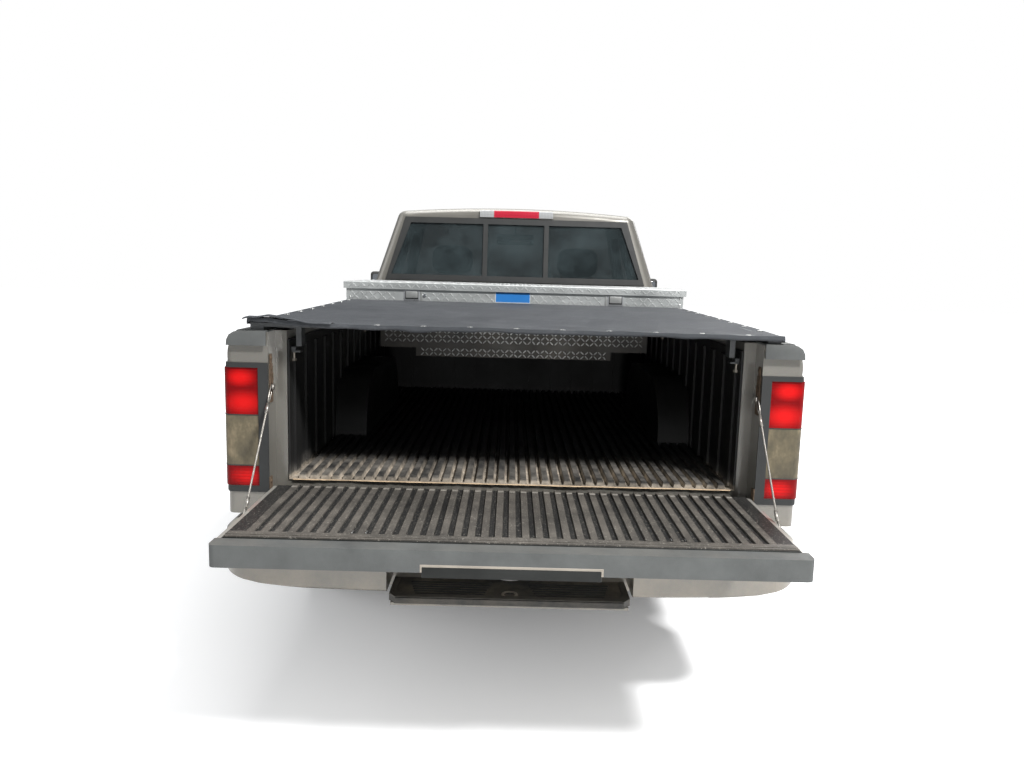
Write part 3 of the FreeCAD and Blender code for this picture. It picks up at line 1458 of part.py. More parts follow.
def make_bed_liner():
    """Ribbed floor sheet, side sheets with upright ribs, and wheelhouse covers."""
    sheet_top = mm.bed_floor_z + mm.liner_sheet
    half = mm.bed_wall_x - 3
    front = mm.bed_front_y + 26
    end = mm.tail_y - mm.jamb_depth + 4
    profile = [(-half, mm.bed_floor_z + 0.2), (-half, sheet_top)]
    count = int((half - 20) // mm.rib_pitch)
    for index in range(-count, count + 1):
        middle = index * mm.rib_pitch
        profile += [
            (middle - mm.rib_width / 2 - 3, sheet_top), (middle - mm.rib_width / 2, mm.liner_top_z),
            (middle + mm.rib_width / 2, mm.liner_top_z), (middle + mm.rib_width / 2 + 3, sheet_top),
        ]
    profile += [(half, sheet_top), (half, mm.bed_floor_z + 0.2)]
    floor = front_prism(profile, front, end)
    walls = []
    for side in (LEFT, RIGHT):
        outer = side * half
        walls.append(block(sorted((outer - side * 5, outer)), (front, end), (sheet_top, 1085)))
        for y in range(int(front) + 60, int(end) - 60, 130):
            walls.append(block(sorted((outer - side * 12, outer - side * 5)), (y, y + 46), (sheet_top, 1060)))
    walls.append(block((-half, half), (front, front + 5), (sheet_top, 1085)))
    for index in range(-5, 6):
        middle = index * 110
        walls.append(block((middle - 24, middle + 24), (front + 5, front + 12), (sheet_top, 1060)))
    liner = floor.fuse(walls)
    above_sheet = block((-900, 900), (0, 3000), (sheet_top - 2, 1000))
    covers = []
    holes = []
    for side in (LEFT, RIGHT):
        cover_x = sorted((side * (mm.wheelhouse_x - 6), side * half))
        covers.append(wheelhouse_solid(7, *cover_x).common(above_sheet))
        holes.append(wheelhouse_solid(0.8, *sorted((side * (mm.wheelhouse_x - 0.6), side * 900))))
    shape = liner.fuse(covers).cut(holes)
    shape_node("bed_liner", largest(shape))


def make_rail_caps():
    """Plastic caps along the tops of the bed sides, wrapped over their shoulders."""
    cap = bed_section(-4, 1071, mm.rail_z)
    cap = cap.cut(bed_section(0, 500, mm.bed_side_top_z))
    inside = block((-mm.jamb_x, mm.jamb_x), (0, 3000), (0, 2000))
    below = block((-1000, 1000), (0, 3000), (0, 1071))
    cap = cap.cut([inside, below])
    shape_node("bed_rail_caps", Part.makeCompound([s for s in cap.Solids if s.Volume > 1e4]))


def make_tail_lamps():
    """Lenses that wrap the tail corners, and the trims round them."""
    pockets = lamp_zone(LENS_LOW + 0.3, LENS_HIGH - 0.3, LENS_INNER + 0.3, LAMP_POCKET - 0.3)
    proud = bed_section(-7, 500, mm.rail_z)
    lenses = []
    for zone in pockets:
        body = zone.common(proud)
        lenses.append(body)
    shape_node("tail_lamps", Part.makeCompound(lenses))

    rings = []
    outer = lamp_zone(TAIL_LAMP_LOW, TAIL_LAMP_HIGH, mm.jamb_x, 46)
    inner = lamp_zone(LENS_LOW, LENS_HIGH, LENS_INNER, 200)
    skin = bed_section(-4, 500, mm.rail_z)
    skin = skin.fuse(block((-830, 830), (mm.tail_y - 1, mm.tail_y + 4), (600, 1050)).common(
        bed_section_reach()))
    skin = skin.cut(bed_section(0, 500, mm.bed_side_top_z))
    for zone, hole in zip(outer, inner):
        rings.append(largest(skin.common(zone).cut(hole)))
    shape_node("tail_lamp_bezels", Part.makeCompound(rings))


def bed_section_reach():
    """The bed's outer form carried a little past the tail."""
    reach = bed_section(-4, 500, mm.rail_z)
    reach.translate(V(0, 4, 0))
    return reach


# Rear bumper

BUMPER_WALL = 16
BUMPER_ROOF = 14
ARM_INNER_X = 380
ARM_OUTER_X = 439


def make_rear_bumper():
    """A bowed bumper whose ends rise and wrap forward, with a low step in the middle."""
    tail = mm.tail_y
    half = mm.rear_bumper_half
    face = tail + mm.rear_bumper_back

    def plan(inset):
        outer, back = half - inset, face - inset
        return [
            line((outer, tail - 235, 0), (outer, tail + 20, 0)),
            arc((outer, tail + 20, 0), (outer - 16, tail + 72, 0), (outer - 70, back - 24, 0)),
            arc((outer - 70, back - 24, 0), (0, back, 0), (70 - outer, back - 24, 0)),
            arc((70 - outer, back - 24, 0), (16 - outer, tail + 72, 0), (-outer, tail + 20, 0)),
            line((-outer, tail + 20, 0), (-outer, tail - 235, 0)),
            line((-outer, tail - 235, 0), (outer, tail - 235, 0)),
        ]

    outer = flat_shape(plan(0), (0, 0, mm.rear_bumper_top_z - mm.rear_bumper_low_z))
    outer.translate(V(0, 0, mm.rear_bumper_low_z))
    rims = [e for e in outer.Edges if e.BoundBox.ZLength < 1 and e.BoundBox.YMax > tail]
    outer = outer.makeFillet(14, rims)
    for side in (LEFT, RIGHT):
        rise = front_prism(
            [
                (side * 560, mm.rear_bumper_low_z - 20), (side * 560, mm.rear_bumper_low_z),
                (side * 700, mm.rear_bumper_low_z + 12), (side * 900, mm.rear_bumper_low_z + 52),
                (side * 900, mm.rear_bumper_low_z - 20),
            ],
            tail - 300, tail + 300,
        )
        outer = outer.cut(rise)
    inner = flat_shape(plan(BUMPER_WALL), (0, 0, mm.rear_bumper_top_z - BUMPER_ROOF - 300))
    inner.translate(V(0, 0, 300))
    open_front = block((-half + BUMPER_WALL, half - BUMPER_WALL), (tail - 300, tail - 16), (300, 700))
    shell = outer.cut([inner, open_front])
    recess_half = mm.step_half + 8
    recess_top = mm.rear_bumper_top_z - BUMPER_ROOF
    wall_y = (tail + 2, tail + 10)
    recess = block((-recess_half, recess_half), (wall_y[1], face + 40), (390, recess_top))
    shell = shell.cut(recess)
    pieces = [block((-recess_half - 8, recess_half + 8), wall_y, (mm.step_low_z, recess_top + 4))]
    for side in (LEFT, RIGHT):
        cheek_x = sorted((side * recess_half, side * (recess_half + 8)))
        cheek = block(cheek_x, (wall_y[0], face + 40), (mm.rear_bumper_low_z, recess_top + 4))
        pieces.append(cheek.common(outer))
        arm_x = sorted((side * ARM_INNER_X, side * ARM_OUTER_X))
        pieces.append(block(arm_x, (2145 + mm.seat_gap, tail + 60), (460, recess_top + 4)))
    pieces.append(
        block((6 - mm.step_half, mm.step_half - 6), (wall_y[0], face + 14), (mm.step_low_z, STEP_PLATE_Z))
    )
    holes = [tube_z(0, tail + BALL_HOLE_BACK, (300, 480), mm.ball_hole_radius)]
    for side in (LEFT, RIGHT):
        holes.append(block(sorted((side * 278, side * 312)), (tail - 5, tail + 20), (412, 422)))
        start = V(side * mm.plate_hole_spacing / 2, tail - 5, PLATE_HOLE_Z)
        holes.append(Part.makeCylinder(3.2, 25, start, V(0, 1, 0)))
    shape_node("rear_bumper", largest(shell.fuse(pieces).cut(holes).removeSplitter()))
    make_step_pad()


STEP_PLATE_Z = 380.8
BALL_HOLE_BACK = 110
PLATE_HOLE_Z = 525


def make_step_pad():
    """The dark tread on the bumper's step, with the hitch ball's hole."""
    body = new_body("bumper_step_pad")
    face = size.tail_y + size.rear_bumper_back + 22
    front = size.tail_y + 10.3
    half = size.step_half
    low = STEP_PLATE_Z + 0.2
    plan = (
        (-half, front), (half, front), (half, face - 24), (half - 20, face),
        (-half + 20, face), (-half, face - 24),
    )
    pad(body, "XY_Plane", plan, size.step_top_z - low)
    place(body, 0, 0, (size.step_top_z + low) / 2)
    hole_y = size.tail_y + BALL_HOLE_BACK
    pocket_through(body, "XY_Plane", lambda s: draw_circle(s, 0, hole_y, size.ball_hole_radius))
    node("bumper_step_pad", body)


# Tonneau cover and toolbox


def tonneau_slope(drop, y_from, y_to):
    """A side-view band that follows the cover's slope, from a drop below its top."""
    front, rear = mm.toolbox_rear_y + 4, mm.tail_y

    def height(y):
        share = (y - front) / (rear - front)
        return mm.tonneau_front_z + share * (mm.tonneau_rear_z - mm.tonneau_front_z)

    high, low = drop
    return [
        (y_from, height(y_from) - low), (y_to, height(y_to) - low),
        (y_to, height(y_to) - high), (y_from, height(y_from) - high),
    ]


COVER_SHEET = 3
BOW_DROP = 3.2
BOW_HALF = 12
BOW_REACH = 720
CLAMP_X = 634


def make_tonneau():
    """A stretched sheet with a hem down each rail and over its rear bar."""
    front, rear = mm.toolbox_rear_y + 4, mm.tail_y
    half = mm.tonneau_half
    sheet_body = side_prism(tonneau_slope((0, COVER_SHEET), front, rear), -half, half)
    hems = []
    for side in (LEFT, RIGHT):
        hem_x = sorted((side * (half - COVER_SHEET), side * half))
        hem = side_prism(tonneau_slope((1, 19), front, rear), *hem_x)
        hems.append(hem)
    hems.append(side_prism(tonneau_slope((1, 14), rear - COVER_SHEET, rear), -half, half))
    shape_node("tonneau_cover", sheet_body.fuse(hems).removeSplitter())

    rails = []
    for side in (LEFT, RIGHT):
        x = sorted((side * 716, side * (half - BOW_DROP)))
        rail = side_prism(tonneau_slope((BOW_DROP, 45), front, rear - BOW_DROP), *x)
        rails.append(rail.common(block((-900, 900), (front, rear), (mm.rail_z, 1200))))
    rear_bar = tonneau_slope((BOW_DROP, 14), rear - 30, rear - BOW_DROP)
    rails.append(side_prism(rear_bar, -BOW_REACH, BOW_REACH))
    for y in (front + 12, front + 470, front + 930):
        bow = tonneau_slope((BOW_DROP, 16), y - BOW_HALF, y + BOW_HALF)
        rails.append(side_prism(bow, -BOW_REACH, BOW_REACH))
    for side in (LEFT, RIGHT):
        clamp = sorted((side * CLAMP_X, side * (CLAMP_X + 16)))
        strap = sorted((side * CLAMP_X, side * 730))
        for y in (front + 120, rear - 120):
            rails.append(block(clamp, (y - 22, y + 22), (1062, 1128)))
            rails.append(block(strap, (y - 22, y + 22), (mm.rail_z, 1128)))
    shape_node("tonneau_rails", rails[0].fuse(rails[1:]).removeSplitter())


def make_toolbox():
    """A crossover tool box: wings on the rails, a tub between them, open under its lid."""
    front, rear = size.toolbox_front_y, size.toolbox_rear_y
    half = size.toolbox_half
    wall = 4
    tub_half, tub_low, well_half, well_low = 612, 940, 450, 900
    wings = box("toolbox_wings", (-half, half), (front, rear), (size.rail_z, size.toolbox_rim_z))
    tub = box("toolbox_tub_part", (-tub_half, tub_half), (front + 6, rear - 6), (tub_low, size.rail_z + 10))
    well = box("toolbox_well", (-well_half, well_half), (front + 20, rear - 20), (well_low, tub_low + 10))
    solid = fuse("toolbox_solid", (wings, tub, well))
    rim = size.toolbox_rim_z + 20
    inside_wings = box(
        "toolbox_wings_inside", (-half + wall, half - wall), (front + wall, rear - wall),
        (size.rail_z + wall, rim),
    )
    inside_tub = box(
        "toolbox_tub_inside", (wall - tub_half, tub_half - wall), (front + 6 + wall, rear - 6 - wall),
        (tub_low + wall, rim),
    )
    inside_well = box(
        "toolbox_well_inside", (wall - well_half, well_half - wall), (front + 20 + wall, rear - 20 - wall),
        (well_low + wall, rim),
    )
    shell = cut("toolbox_shell", solid, (inside_wings, inside_tub, inside_well))
    pin_y_place, pin_z = front - HINGE_AHEAD, HINGE_Z
    pieces = [shell, box("toolbox_hinge_leaf", (-700, 700), (front - 6, front), (1160, 1178))]
    for index, (x_from, x_to) in enumerate(((-700, -640), (-560, -40), (40, 560), (640, 700))):
        name = "toolbox_hinge_arm_%d" % index
        pieces.append(box(name, (x_from, x_to), (pin_y_place - 4, front - 5), (1170, pin_z)))
    pieces.append(rod("toolbox_hinge_bar", "x", (-700, pin_y_place, pin_z), 1400, HINGE_BAR))
    node("toolbox_tub", fuse("toolbox_tub", pieces))

    make_toolbox_lid()


HINGE_AHEAD = 14
HINGE_Z = 1193
HINGE_BAR = 5


def make_toolbox_lid():
    """The lid's tray with its three hinge curls."""
    lid_half = mm.toolbox_half + 11
    front, rear = mm.toolbox_front_y - 12, mm.toolbox_rear_y + 10
    low = mm.toolbox_lid_z - mm.toolbox_lid_drop
    tray = block((-lid_half, lid_half), (front, rear), (low, mm.toolbox_lid_z))
    tray = tray.makeFillet(4, [e for e in tray.Edges if e.BoundBox.ZMin > mm.toolbox_lid_z - 1])
    hollow = block(
        (-lid_half + 3, lid_half - 3), (front + 3, rear - 3), (low - 10, mm.toolbox_lid_z - 3)
    )
    pin_y_place = mm.toolbox_front_y - HINGE_AHEAD
    curls = []
    bores = []
    for x in (-600, 0, 600):
        ends = (x - 32, x + 32)
        curls.append(tube_x(ends, pin_y_place, HINGE_Z, HINGE_BAR + 4))
        curls.append(block(ends, (front, front + 3), (HINGE_Z, low + 2)))
        bores.append(tube_x(ends, pin_y_place, HINGE_Z, HINGE_BAR + mm.fit_gap))
    shape_node("toolbox_lid", tray.cut(hollow).fuse(curls).cut(bores).removeSplitter())


# Tailgate, open


def make_tailgate():
    """The open tailgate, its hinge trunnions, its outer handle and its latch ends."""
    tail = mm.tail_y
    half = mm.tailgate_half
    tip = tail + mm.tailgate_reach - 7
    low, high = mm.tailgate_low_z, mm.tailgate_high_z
    panel = block((-half, half), (tail - 16, tip), (low, high))
    corners = [e for e in panel.Edges if e.BoundBox.XLength < 1 and e.BoundBox.YMin > tip - 1]
    panel = panel.makeFillet(9, corners)
    toe = block((-900, 900), (tail - 30, tail + 10), (600, mm.tailgate_pin_z + 19))
    panel = panel.cut(toe)
    pin_y_place = tail - mm.tailgate_pin_back
    ears = []
    pins = []
    for side in (LEFT, RIGHT):
        ear_x = sorted((side * (half - 40), side * half))
        pin_x_range = sorted((side * (half - 40), side * (half + 22)))
        ears.append(block(ear_x, (pin_y_place - 6, tail + 40), (600, 630)))
        ears.append(tube_x(ear_x, pin_y_place, mm.tailgate_pin_z, 13))
        pins.append(tube_x(pin_x_range, pin_y_place, mm.tailgate_pin_z, TAILGATE_PIN_RADIUS))
    handle_y = tip - 62
    handle = block((-105, 105), (handle_y - 38, handle_y + 38), (low - 5, low + 1))
    paddle = block((-62, 62), (handle_y - 20, handle_y + 24), (low - 12, low - 4))
    shape = panel.fuse(ears + pins + [handle, paddle]).removeSplitter()
    shape_node("tailgate", shape)

    cap_low, cap_high = low - 0.2, high + 4
    cap = block((-half, half), (tip - 44, tip + 7), (cap_low, cap_high))
    ends = [e for e in cap.Edges if e.BoundBox.ZLength > 10 and e.BoundBox.YMin > tip]
    cap = cap.makeFillet(16, ends)
    cap = cap.cut(panel)
    cap = cap.cut(block((-half - 1, half + 1), (tip - 50, tip - 8), (cap_low - 5, low + 20)))
    drop = block((-207, 207), (tip - 4, tip + 7), (low - 12, low + 6)).cut(panel)
    shape_node("tailgate_cap", largest(cap.fuse(drop).removeSplitter()))

    make_tailgate_liner()
    make_tailgate_cables()


def make_tailgate_liner():
    """The ribbed sheet on the tailgate's inner face."""
    tail = mm.tail_y
    top = mm.tailgate_high_z
    half = mm.tailgate_half - 14.5
    count = int((half - 30) // mm.rib_pitch)
    profile = [(-half, top + 0.1), (-half, top + 4)]
    for index in range(-count, count + 1):
        middle = index * mm.rib_pitch
        profile += [
            (middle - mm.rib_width / 2 - 2, top + 4), (middle - mm.rib_width / 2, top + 10),
            (middle + mm.rib_width / 2, top + 10), (middle + mm.rib_width / 2 + 2, top + 4),
        ]
    profile += [(half, top + 4), (half, top + 0.1)]
    sheet_part = front_prism(profile, tail - 10, tail + mm.tailgate_reach - 53)
    shape_node("tailgate_liner", sheet_part)


CABLE_TOP = (700, -30, 950)
CABLE_FOOT = (702, 225, 640)


def make_tailgate_cables():
    """Steel strands from the jambs to the tailgate's sides, pulled straight."""
    tail = mm.tail_y
    top, foot = V(*CABLE_TOP), V(*CABLE_FOOT)
    top.y += tail
    foot.y += tail
    run = foot - top
    strand = Part.makeCylinder(3, run.Length, top, run)
    upper_stud = tube_x((697, mm.jamb_x - mm.seat_gap), top.y, top.z, 9)
    lower_stud = tube_x((mm.tailgate_half + mm.seat_gap, 707), foot.y, foot.z, 9)
    shape_node("tailgate_cables", with_mirror(strand.fuse([upper_stud, lower_stud])))


# Build, check and write every sub-part

MAKERS = (
    make_ladder_frame,
    make_power_train,
    make_front_suspension,
    make_knuckles,
    make_tie_rods,
    make_rear_suspension,
    make_exhaust,
    make_fuel_tank,
    make_wheels,
    make_spare_wheel,
    make_cab_solids,
    make_cab,
    make_doors,
    make_front_end,
    make_dashboard,
    make_seats,
    make_steering_wheel,
    make_bed_sides,
    make_bed_floor,
    make_wheelhouses,
    make_bed_liner,
    make_rail_caps,
    make_tail_lamps,
    make_rear_bumper,
    make_tonneau,
    make_toolbox,
    make_tailgate,
)


def check(label, thing):
    """Stop on a failed feature or a shape that is missing or invalid."""
    shape = thing.Shape
    if shape.isNull() or not shape.isValid() or not shape.Solids:
        raise ValueError("sub-part %s has no valid shape" % label)


def main():
    for make in MAKERS:
        make()
    doc.recompute()
    for thing in doc.Objects:
        if "Invalid" in thing.State or "Error" in thing.State:
            raise ValueError("object %s did not compute" % thing.Name)
    for label, thing in nodes.items():
        check(label, thing)
    os.makedirs("parts", exist_ok=True)
    for label, thing in nodes.items():
        thing.Shape.exportStep("parts/%s.step" % label)
    print("%d sub-parts written" % len(nodes))


main()
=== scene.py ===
"""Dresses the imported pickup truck: finishes for its panels, and pieces that CAD leaves plain."""

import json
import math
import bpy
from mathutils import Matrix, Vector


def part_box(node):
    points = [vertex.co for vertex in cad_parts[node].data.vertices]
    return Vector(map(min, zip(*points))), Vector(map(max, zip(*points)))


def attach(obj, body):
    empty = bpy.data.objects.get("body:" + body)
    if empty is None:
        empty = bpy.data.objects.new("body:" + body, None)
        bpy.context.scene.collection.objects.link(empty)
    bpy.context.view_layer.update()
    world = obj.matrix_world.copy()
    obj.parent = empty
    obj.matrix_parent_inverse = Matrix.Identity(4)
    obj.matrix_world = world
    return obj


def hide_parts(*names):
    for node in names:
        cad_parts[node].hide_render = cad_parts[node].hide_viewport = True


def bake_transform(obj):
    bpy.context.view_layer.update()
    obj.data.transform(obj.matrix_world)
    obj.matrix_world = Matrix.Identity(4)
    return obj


bl_info = {
    "name": "Pickup Truck Dresser",
    "version": (1, 0, 0),
    "blender": (4, 5, 0),
    "location": "View3D > Sidebar > Truck",
    "description": "Adds finishes, tonneau cover, tyres, seats, lamps and trim to the packed truck",
    "category": "Object",
}

import bmesh
import bpy
from mathutils import Matrix, Vector, noise

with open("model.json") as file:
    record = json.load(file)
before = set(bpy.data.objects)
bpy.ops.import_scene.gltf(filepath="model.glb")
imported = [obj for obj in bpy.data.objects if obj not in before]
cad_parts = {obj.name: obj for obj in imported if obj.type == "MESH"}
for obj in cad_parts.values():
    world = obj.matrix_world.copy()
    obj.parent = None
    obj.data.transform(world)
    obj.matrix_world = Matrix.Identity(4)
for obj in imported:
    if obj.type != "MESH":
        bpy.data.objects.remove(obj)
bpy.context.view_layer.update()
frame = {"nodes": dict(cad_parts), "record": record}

TAIL_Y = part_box("bed_sides")[1].y
SIDES = (("left", 1), ("right", -1))
ENDS = ("front", "rear")
UNTURNED = (0.0, 0.0, 0.0)
HALF_TURN = (0.0, 0.0, math.pi)


# Node helpers


class Tree:
    """A short way to add nodes to a material and join them."""

    def __init__(self, name):
        self.material = bpy.data.materials.new(name)
        self.material.use_nodes = True
        self.nodes = self.material.node_tree.nodes
        self.links = self.material.node_tree.links
        self.shader = self.nodes["Principled BSDF"]
        self.place = self.nodes.new("ShaderNodeTexCoord").outputs["Object"]

    def feed(self, socket, value):
        """An input takes a link when the value is a socket, and the plain value otherwise."""
        if isinstance(value, bpy.types.NodeSocket):
            self.links.new(value, socket)
        else:
            socket.default_value = value

    def give(self, shade, gloss, **others):
        """Sets the shader's inputs, whose names take an underscore for each space."""
        values = {"Base Color": shade, "Roughness": gloss, **others}
        for name, value in values.items():
            self.feed(self.shader.inputs[name.replace("_", " ")], value)
        return self.material

    def add(self, kind, settings=None, **inputs):
        """A node with its settings; an input is named, or numbered as i0, i1 and so on."""
        node = self.nodes.new("ShaderNode" + kind)
        for key, value in (settings or {}).items():
            setattr(node, key, value)
        for key, value in inputs.items():
            numbered = key[0] == "i" and key[1:].isdigit()
            self.feed(node.inputs[int(key[1:]) if numbered else key], value)
        return node

    def noise(self, scale, detail=3.0, rough=0.6, stretch=None):
        where = self.place
        if stretch:
            where = self.add("Mapping", Vector=where, Scale=stretch).outputs[0]
        node = self.add("TexNoise", Vector=where, Scale=scale, Detail=detail, Roughness=rough)
        return node.outputs["Fac"]

    def bands(self, direction, scale):
        node = self.add("TexWave", {"bands_direction": direction}, Vector=self.place, Scale=scale)
        return node.outputs["Fac"]

    def ramp(self, value, *stops):
        node = self.add("ValToRGB", Fac=value)
        elements = node.color_ramp.elements
        while len(elements) > 1:
            elements.remove(elements[-1])
        elements[0].position, elements[0].color = stops[0][0], colour(stops[0][1])
        for position, shade in stops[1:]:
            elements.new(position).color = colour(shade)
        return node.outputs[0]

    def math(self, operation, a, b=0.0):
        return self.add("Math", {"operation": operation}, i0=a, i1=b).outputs[0]

    def times(self, *factors):
        product = factors[0]
        for factor in factors[1:]:
            product = self.math("MULTIPLY", product, factor)
        return product

    def plus(self, a, b):
        return self.math("ADD", a, b)

    def span(self, value, low, high, to_low=0.0, to_high=1.0):
        """A value between two limits, brought to lie between two others."""
        return self.add("MapRange", Value=value, i1=low, i2=high, i3=to_low, i4=to_high).outputs[0]

    def mix(self, factor, a, b, blend="MIX"):
        node = self.add("Mix", {"data_type": "RGBA", "blend_type": blend, "clamp_factor": True})
        self.feed(node.inputs[0], factor)
        for index, value in ((6, a), (7, b)):
            plain = not isinstance(value, bpy.types.NodeSocket)
            self.feed(node.inputs[index], colour(value) if plain else value)
        return node.outputs[2]

    def axis(self, name, place=None):
        return self.add("SeparateXYZ", Vector=place or self.place).outputs[name]

    def upward(self):
        """How far a face looks up, from -1 to 1."""
        return self.axis("Z", self.nodes.new("ShaderNodeNewGeometry").outputs["Normal"])

    def bump(self, height, distance, strength=1.0, normal=None):
        node = self.add("Bump", Height=height, Distance=distance, Strength=strength)
        if normal:
            self.links.new(normal, node.inputs["Normal"])
        return node.outputs[0]


def colour(shade):
    """A grey level or a colour as four numbers."""
    if isinstance(shade, (int, float)):
        return (shade, shade, shade, 1.0)
    return tuple(shade)[:3] + (1.0,)


def tinted(shade, factor):
    return tuple(channel * factor for channel in colour(shade)[:3])


# Finishes

DUST = (0.36, 0.31, 0.24)
# Near-black that stands for painted shade, on the bed's walls and in the tailgate liner's valleys
SHADE_BLACK = (0.004, 0.004, 0.004)
# Below this height the toolbox is darkened as painted shade, down in the bed where shade falls
SHADE_HEIGHT = 1.125


def dusty(tree, base, amount, below, above=0.0):
    """Road dust low on the body, and a little of it on faces that look up."""
    low = tree.span(tree.axis("Z"), below, below * 0.45)
    lying = tree.times(tree.math("MAXIMUM", tree.upward()), above)
    patch = tree.span(tree.noise(7.0, 6.0, 0.7), 0.35, 0.72)
    cover = tree.plus(tree.times(low, amount), lying)
    return tree.mix(tree.times(cover, patch), base, DUST)


def plain_finish(name, base, roughness, metallic=0.0, mottle=0.15, mottle_scale=9.0, grain=None,
                 coat=0.0, dust=(0.0, 0.8, 0.0), shine=0.5):
    """A finish with mottled colour, a bump of its own grain and some dust."""
    tree = Tree(name)
    cloud = tree.noise(mottle_scale, 5.0, 0.65)
    shade = tree.ramp(cloud, (0.25, tinted(base, 1.0 - mottle)), (0.75, tinted(base, 1.0 + mottle)))
    amount, below, above = dust
    if amount or above:
        shade = dusty(tree, shade, amount, below, above)
    gloss = tree.span(tree.noise(mottle_scale * 2.3, 6.0, 0.7), 0.3, 0.7,
                      max(roughness - 0.07, 0.03), roughness + 0.09)
    others = {"Metallic": metallic, "Coat Weight": coat, "Coat Roughness": 0.12,
              "Specular IOR Level": shine}
    if grain:
        scale, depth = grain
        others["Normal"] = tree.bump(tree.noise(scale, 2.0), depth)
    return tree.give(shade, gloss, **others)


def paint_finish():
    """Pale bronze-grey metallic paint under a clear coat, dusty along its lower edges, and paler on
    faces that look up as painted light from the sky.
    """
    tree = Tree("pewter_paint")
    base = (0.170, 0.161, 0.142)
    shade = tree.ramp(tree.noise(1.7, 4.0), (0.3, tinted(base, 0.93)), (0.7, tinted(base, 1.07)))
    flakes = tree.add("TexVoronoi", Vector=tree.place, Scale=900.0).outputs["Color"]
    shade = tree.mix(0.10, shade, flakes, "SOFT_LIGHT")
    # Painted light: faces that look up are mixed towards a pale tone, as the sky lights them
    painted_sheen = tree.span(tree.upward(), 0.45, 0.95, 0.0, 0.75)
    shade = tree.mix(painted_sheen, shade, (0.46, 0.445, 0.405))
    shade = dusty(tree, shade, 0.55, 0.70)
    streak = tree.noise(6.0, 6.0, 0.7, (1.0, 1.0, 0.12))
    return tree.give(shade, tree.span(streak, 0.3, 0.7, 0.26, 0.44), Metallic=0.35,
                     Coat_Weight=0.5, Coat_Roughness=0.10,
                     Normal=tree.bump(tree.noise(160.0, 1.0), 0.00025, 0.5))


def shaded_below(tree, base, height, share=0.92):
    """Painted shade, dull brown, on the part of a surface that lies under a height."""
    low = tree.span(tree.axis("Z"), height, height - 0.03)
    # painted shade: a dull brown darkness mixed in below the height
    painted_shade = tree.ramp(tree.noise(5.0, 4.0),
                      (0.3, (0.020, 0.019, 0.018)), (0.75, (0.075, 0.062, 0.048)))
    return tree.mix(tree.times(low, share), base, painted_shade)


def plate_ground_finish():
    """The toolbox's smooth sheet between its raised marks."""
    tree = Tree("plate_ground")
    cloud = tree.noise(6.0, 5.0, 0.65)
    shade = tree.ramp(cloud, (0.3, (0.40, 0.415, 0.405)), (0.7, (0.54, 0.555, 0.545)))
    # painted shade on the tub's face low in the bed
    shade = shaded_below(tree, shade, SHADE_HEIGHT)
    return tree.give(shade, tree.span(cloud, 0.3, 0.7, 0.34, 0.50), Metallic=0.6,
                     Normal=tree.bump(tree.noise(90.0, 2.0), 0.0003))


def bed_liner_shade(tree, shade, crest, wear):
    """The bed's liner: sand in its troughs and pale scuffed crests near the tail, where a painted
    pool of sunlight brightens them, and walls near-black as painted shade.
    """
    # Painted light: the zone near the tail, where sunlight reaches under the cover, is the only
    # place the sand and scuffed crests show pale
    near = tree.span(tree.axis("Y"), 1.66, 1.98)
    lying = tree.span(tree.axis("Z"), 0.72, 0.68)
    cloud = tree.noise(24.0, 5.0, 0.7)
    dust = tree.ramp(cloud, (0.3, (0.30, 0.25, 0.19)), (0.7, (0.58, 0.51, 0.42)))
    trough = tree.span(tree.axis("Z"), 0.6830, 0.6765)
    sand_and_sunlight = tree.times(near, trough, tree.plus(wear, 0.35), 0.85)
    shade = tree.mix(sand_and_sunlight, shade, dust)
    wear_and_sunlight = tree.times(tree.times(crest, near), tree.times(lying, tree.times(wear, 0.55)))
    shade = tree.mix(wear_and_sunlight, shade, (0.34, 0.31, 0.27))
    # painted shade: the walls, above the floor, are mixed towards near-black
    return tree.mix(tree.times(tree.math("SUBTRACT", 1.0, lying), 0.60), shade, SHADE_BLACK)


def gate_liner_shade(tree, shade, crest, wear, cloud):
    """The tailgate's liner: valleys darkened as painted shade, scuffed crests and pale specks."""
    # painted shade: the whole base is darkened, which stays in the valleys between the scuffed
    # crests
    shade = tree.mix(0.55, shade, SHADE_BLACK)
    scuffed = tree.ramp(cloud, (0.3, (0.085, 0.078, 0.068)), (0.7, (0.150, 0.134, 0.115)))
    shade = tree.mix(tree.times(crest, tree.plus(tree.times(wear, 0.5), 0.44)), shade, scuffed)
    specks = tree.span(tree.noise(160.0, 6.0, 0.8), 0.57, 0.64)
    return tree.mix(tree.times(specks, 0.60), shade, (0.42, 0.39, 0.34))


def liner_finish(name, gate):
    """Ribbed liner: black deep in the bed with walls darkened as painted shade, sand pale near the
    tail in a painted pool of sunlight, scuffed on the tailgate with painted shade in its valleys.
    """
    tree = Tree(name)
    cloud = tree.noise(4.0, 6.0, 0.7)
    shade = tree.ramp(cloud, (0.3, (0.020, 0.020, 0.020)), (0.7, (0.042, 0.041, 0.039)))
    rib_low, rib_high = (0.6632, 0.6675) if gate else (0.672, 0.6835)
    crest = tree.span(tree.axis("Z"), rib_low, rib_high)
    wear = tree.span(tree.noise(11.0, 6.0, 0.75), 0.40, 0.66)
    if gate:
        shade = gate_liner_shade(tree, shade, crest, wear, cloud)
    else:
        shade = bed_liner_shade(tree, shade, crest, wear)
    return tree.give(shade, tree.span(cloud, 0.3, 0.7, 0.40, 0.60), Specular_IOR_Level=0.25,
                     Normal=tree.bump(tree.noise(170.0, 3.0), 0.0005))


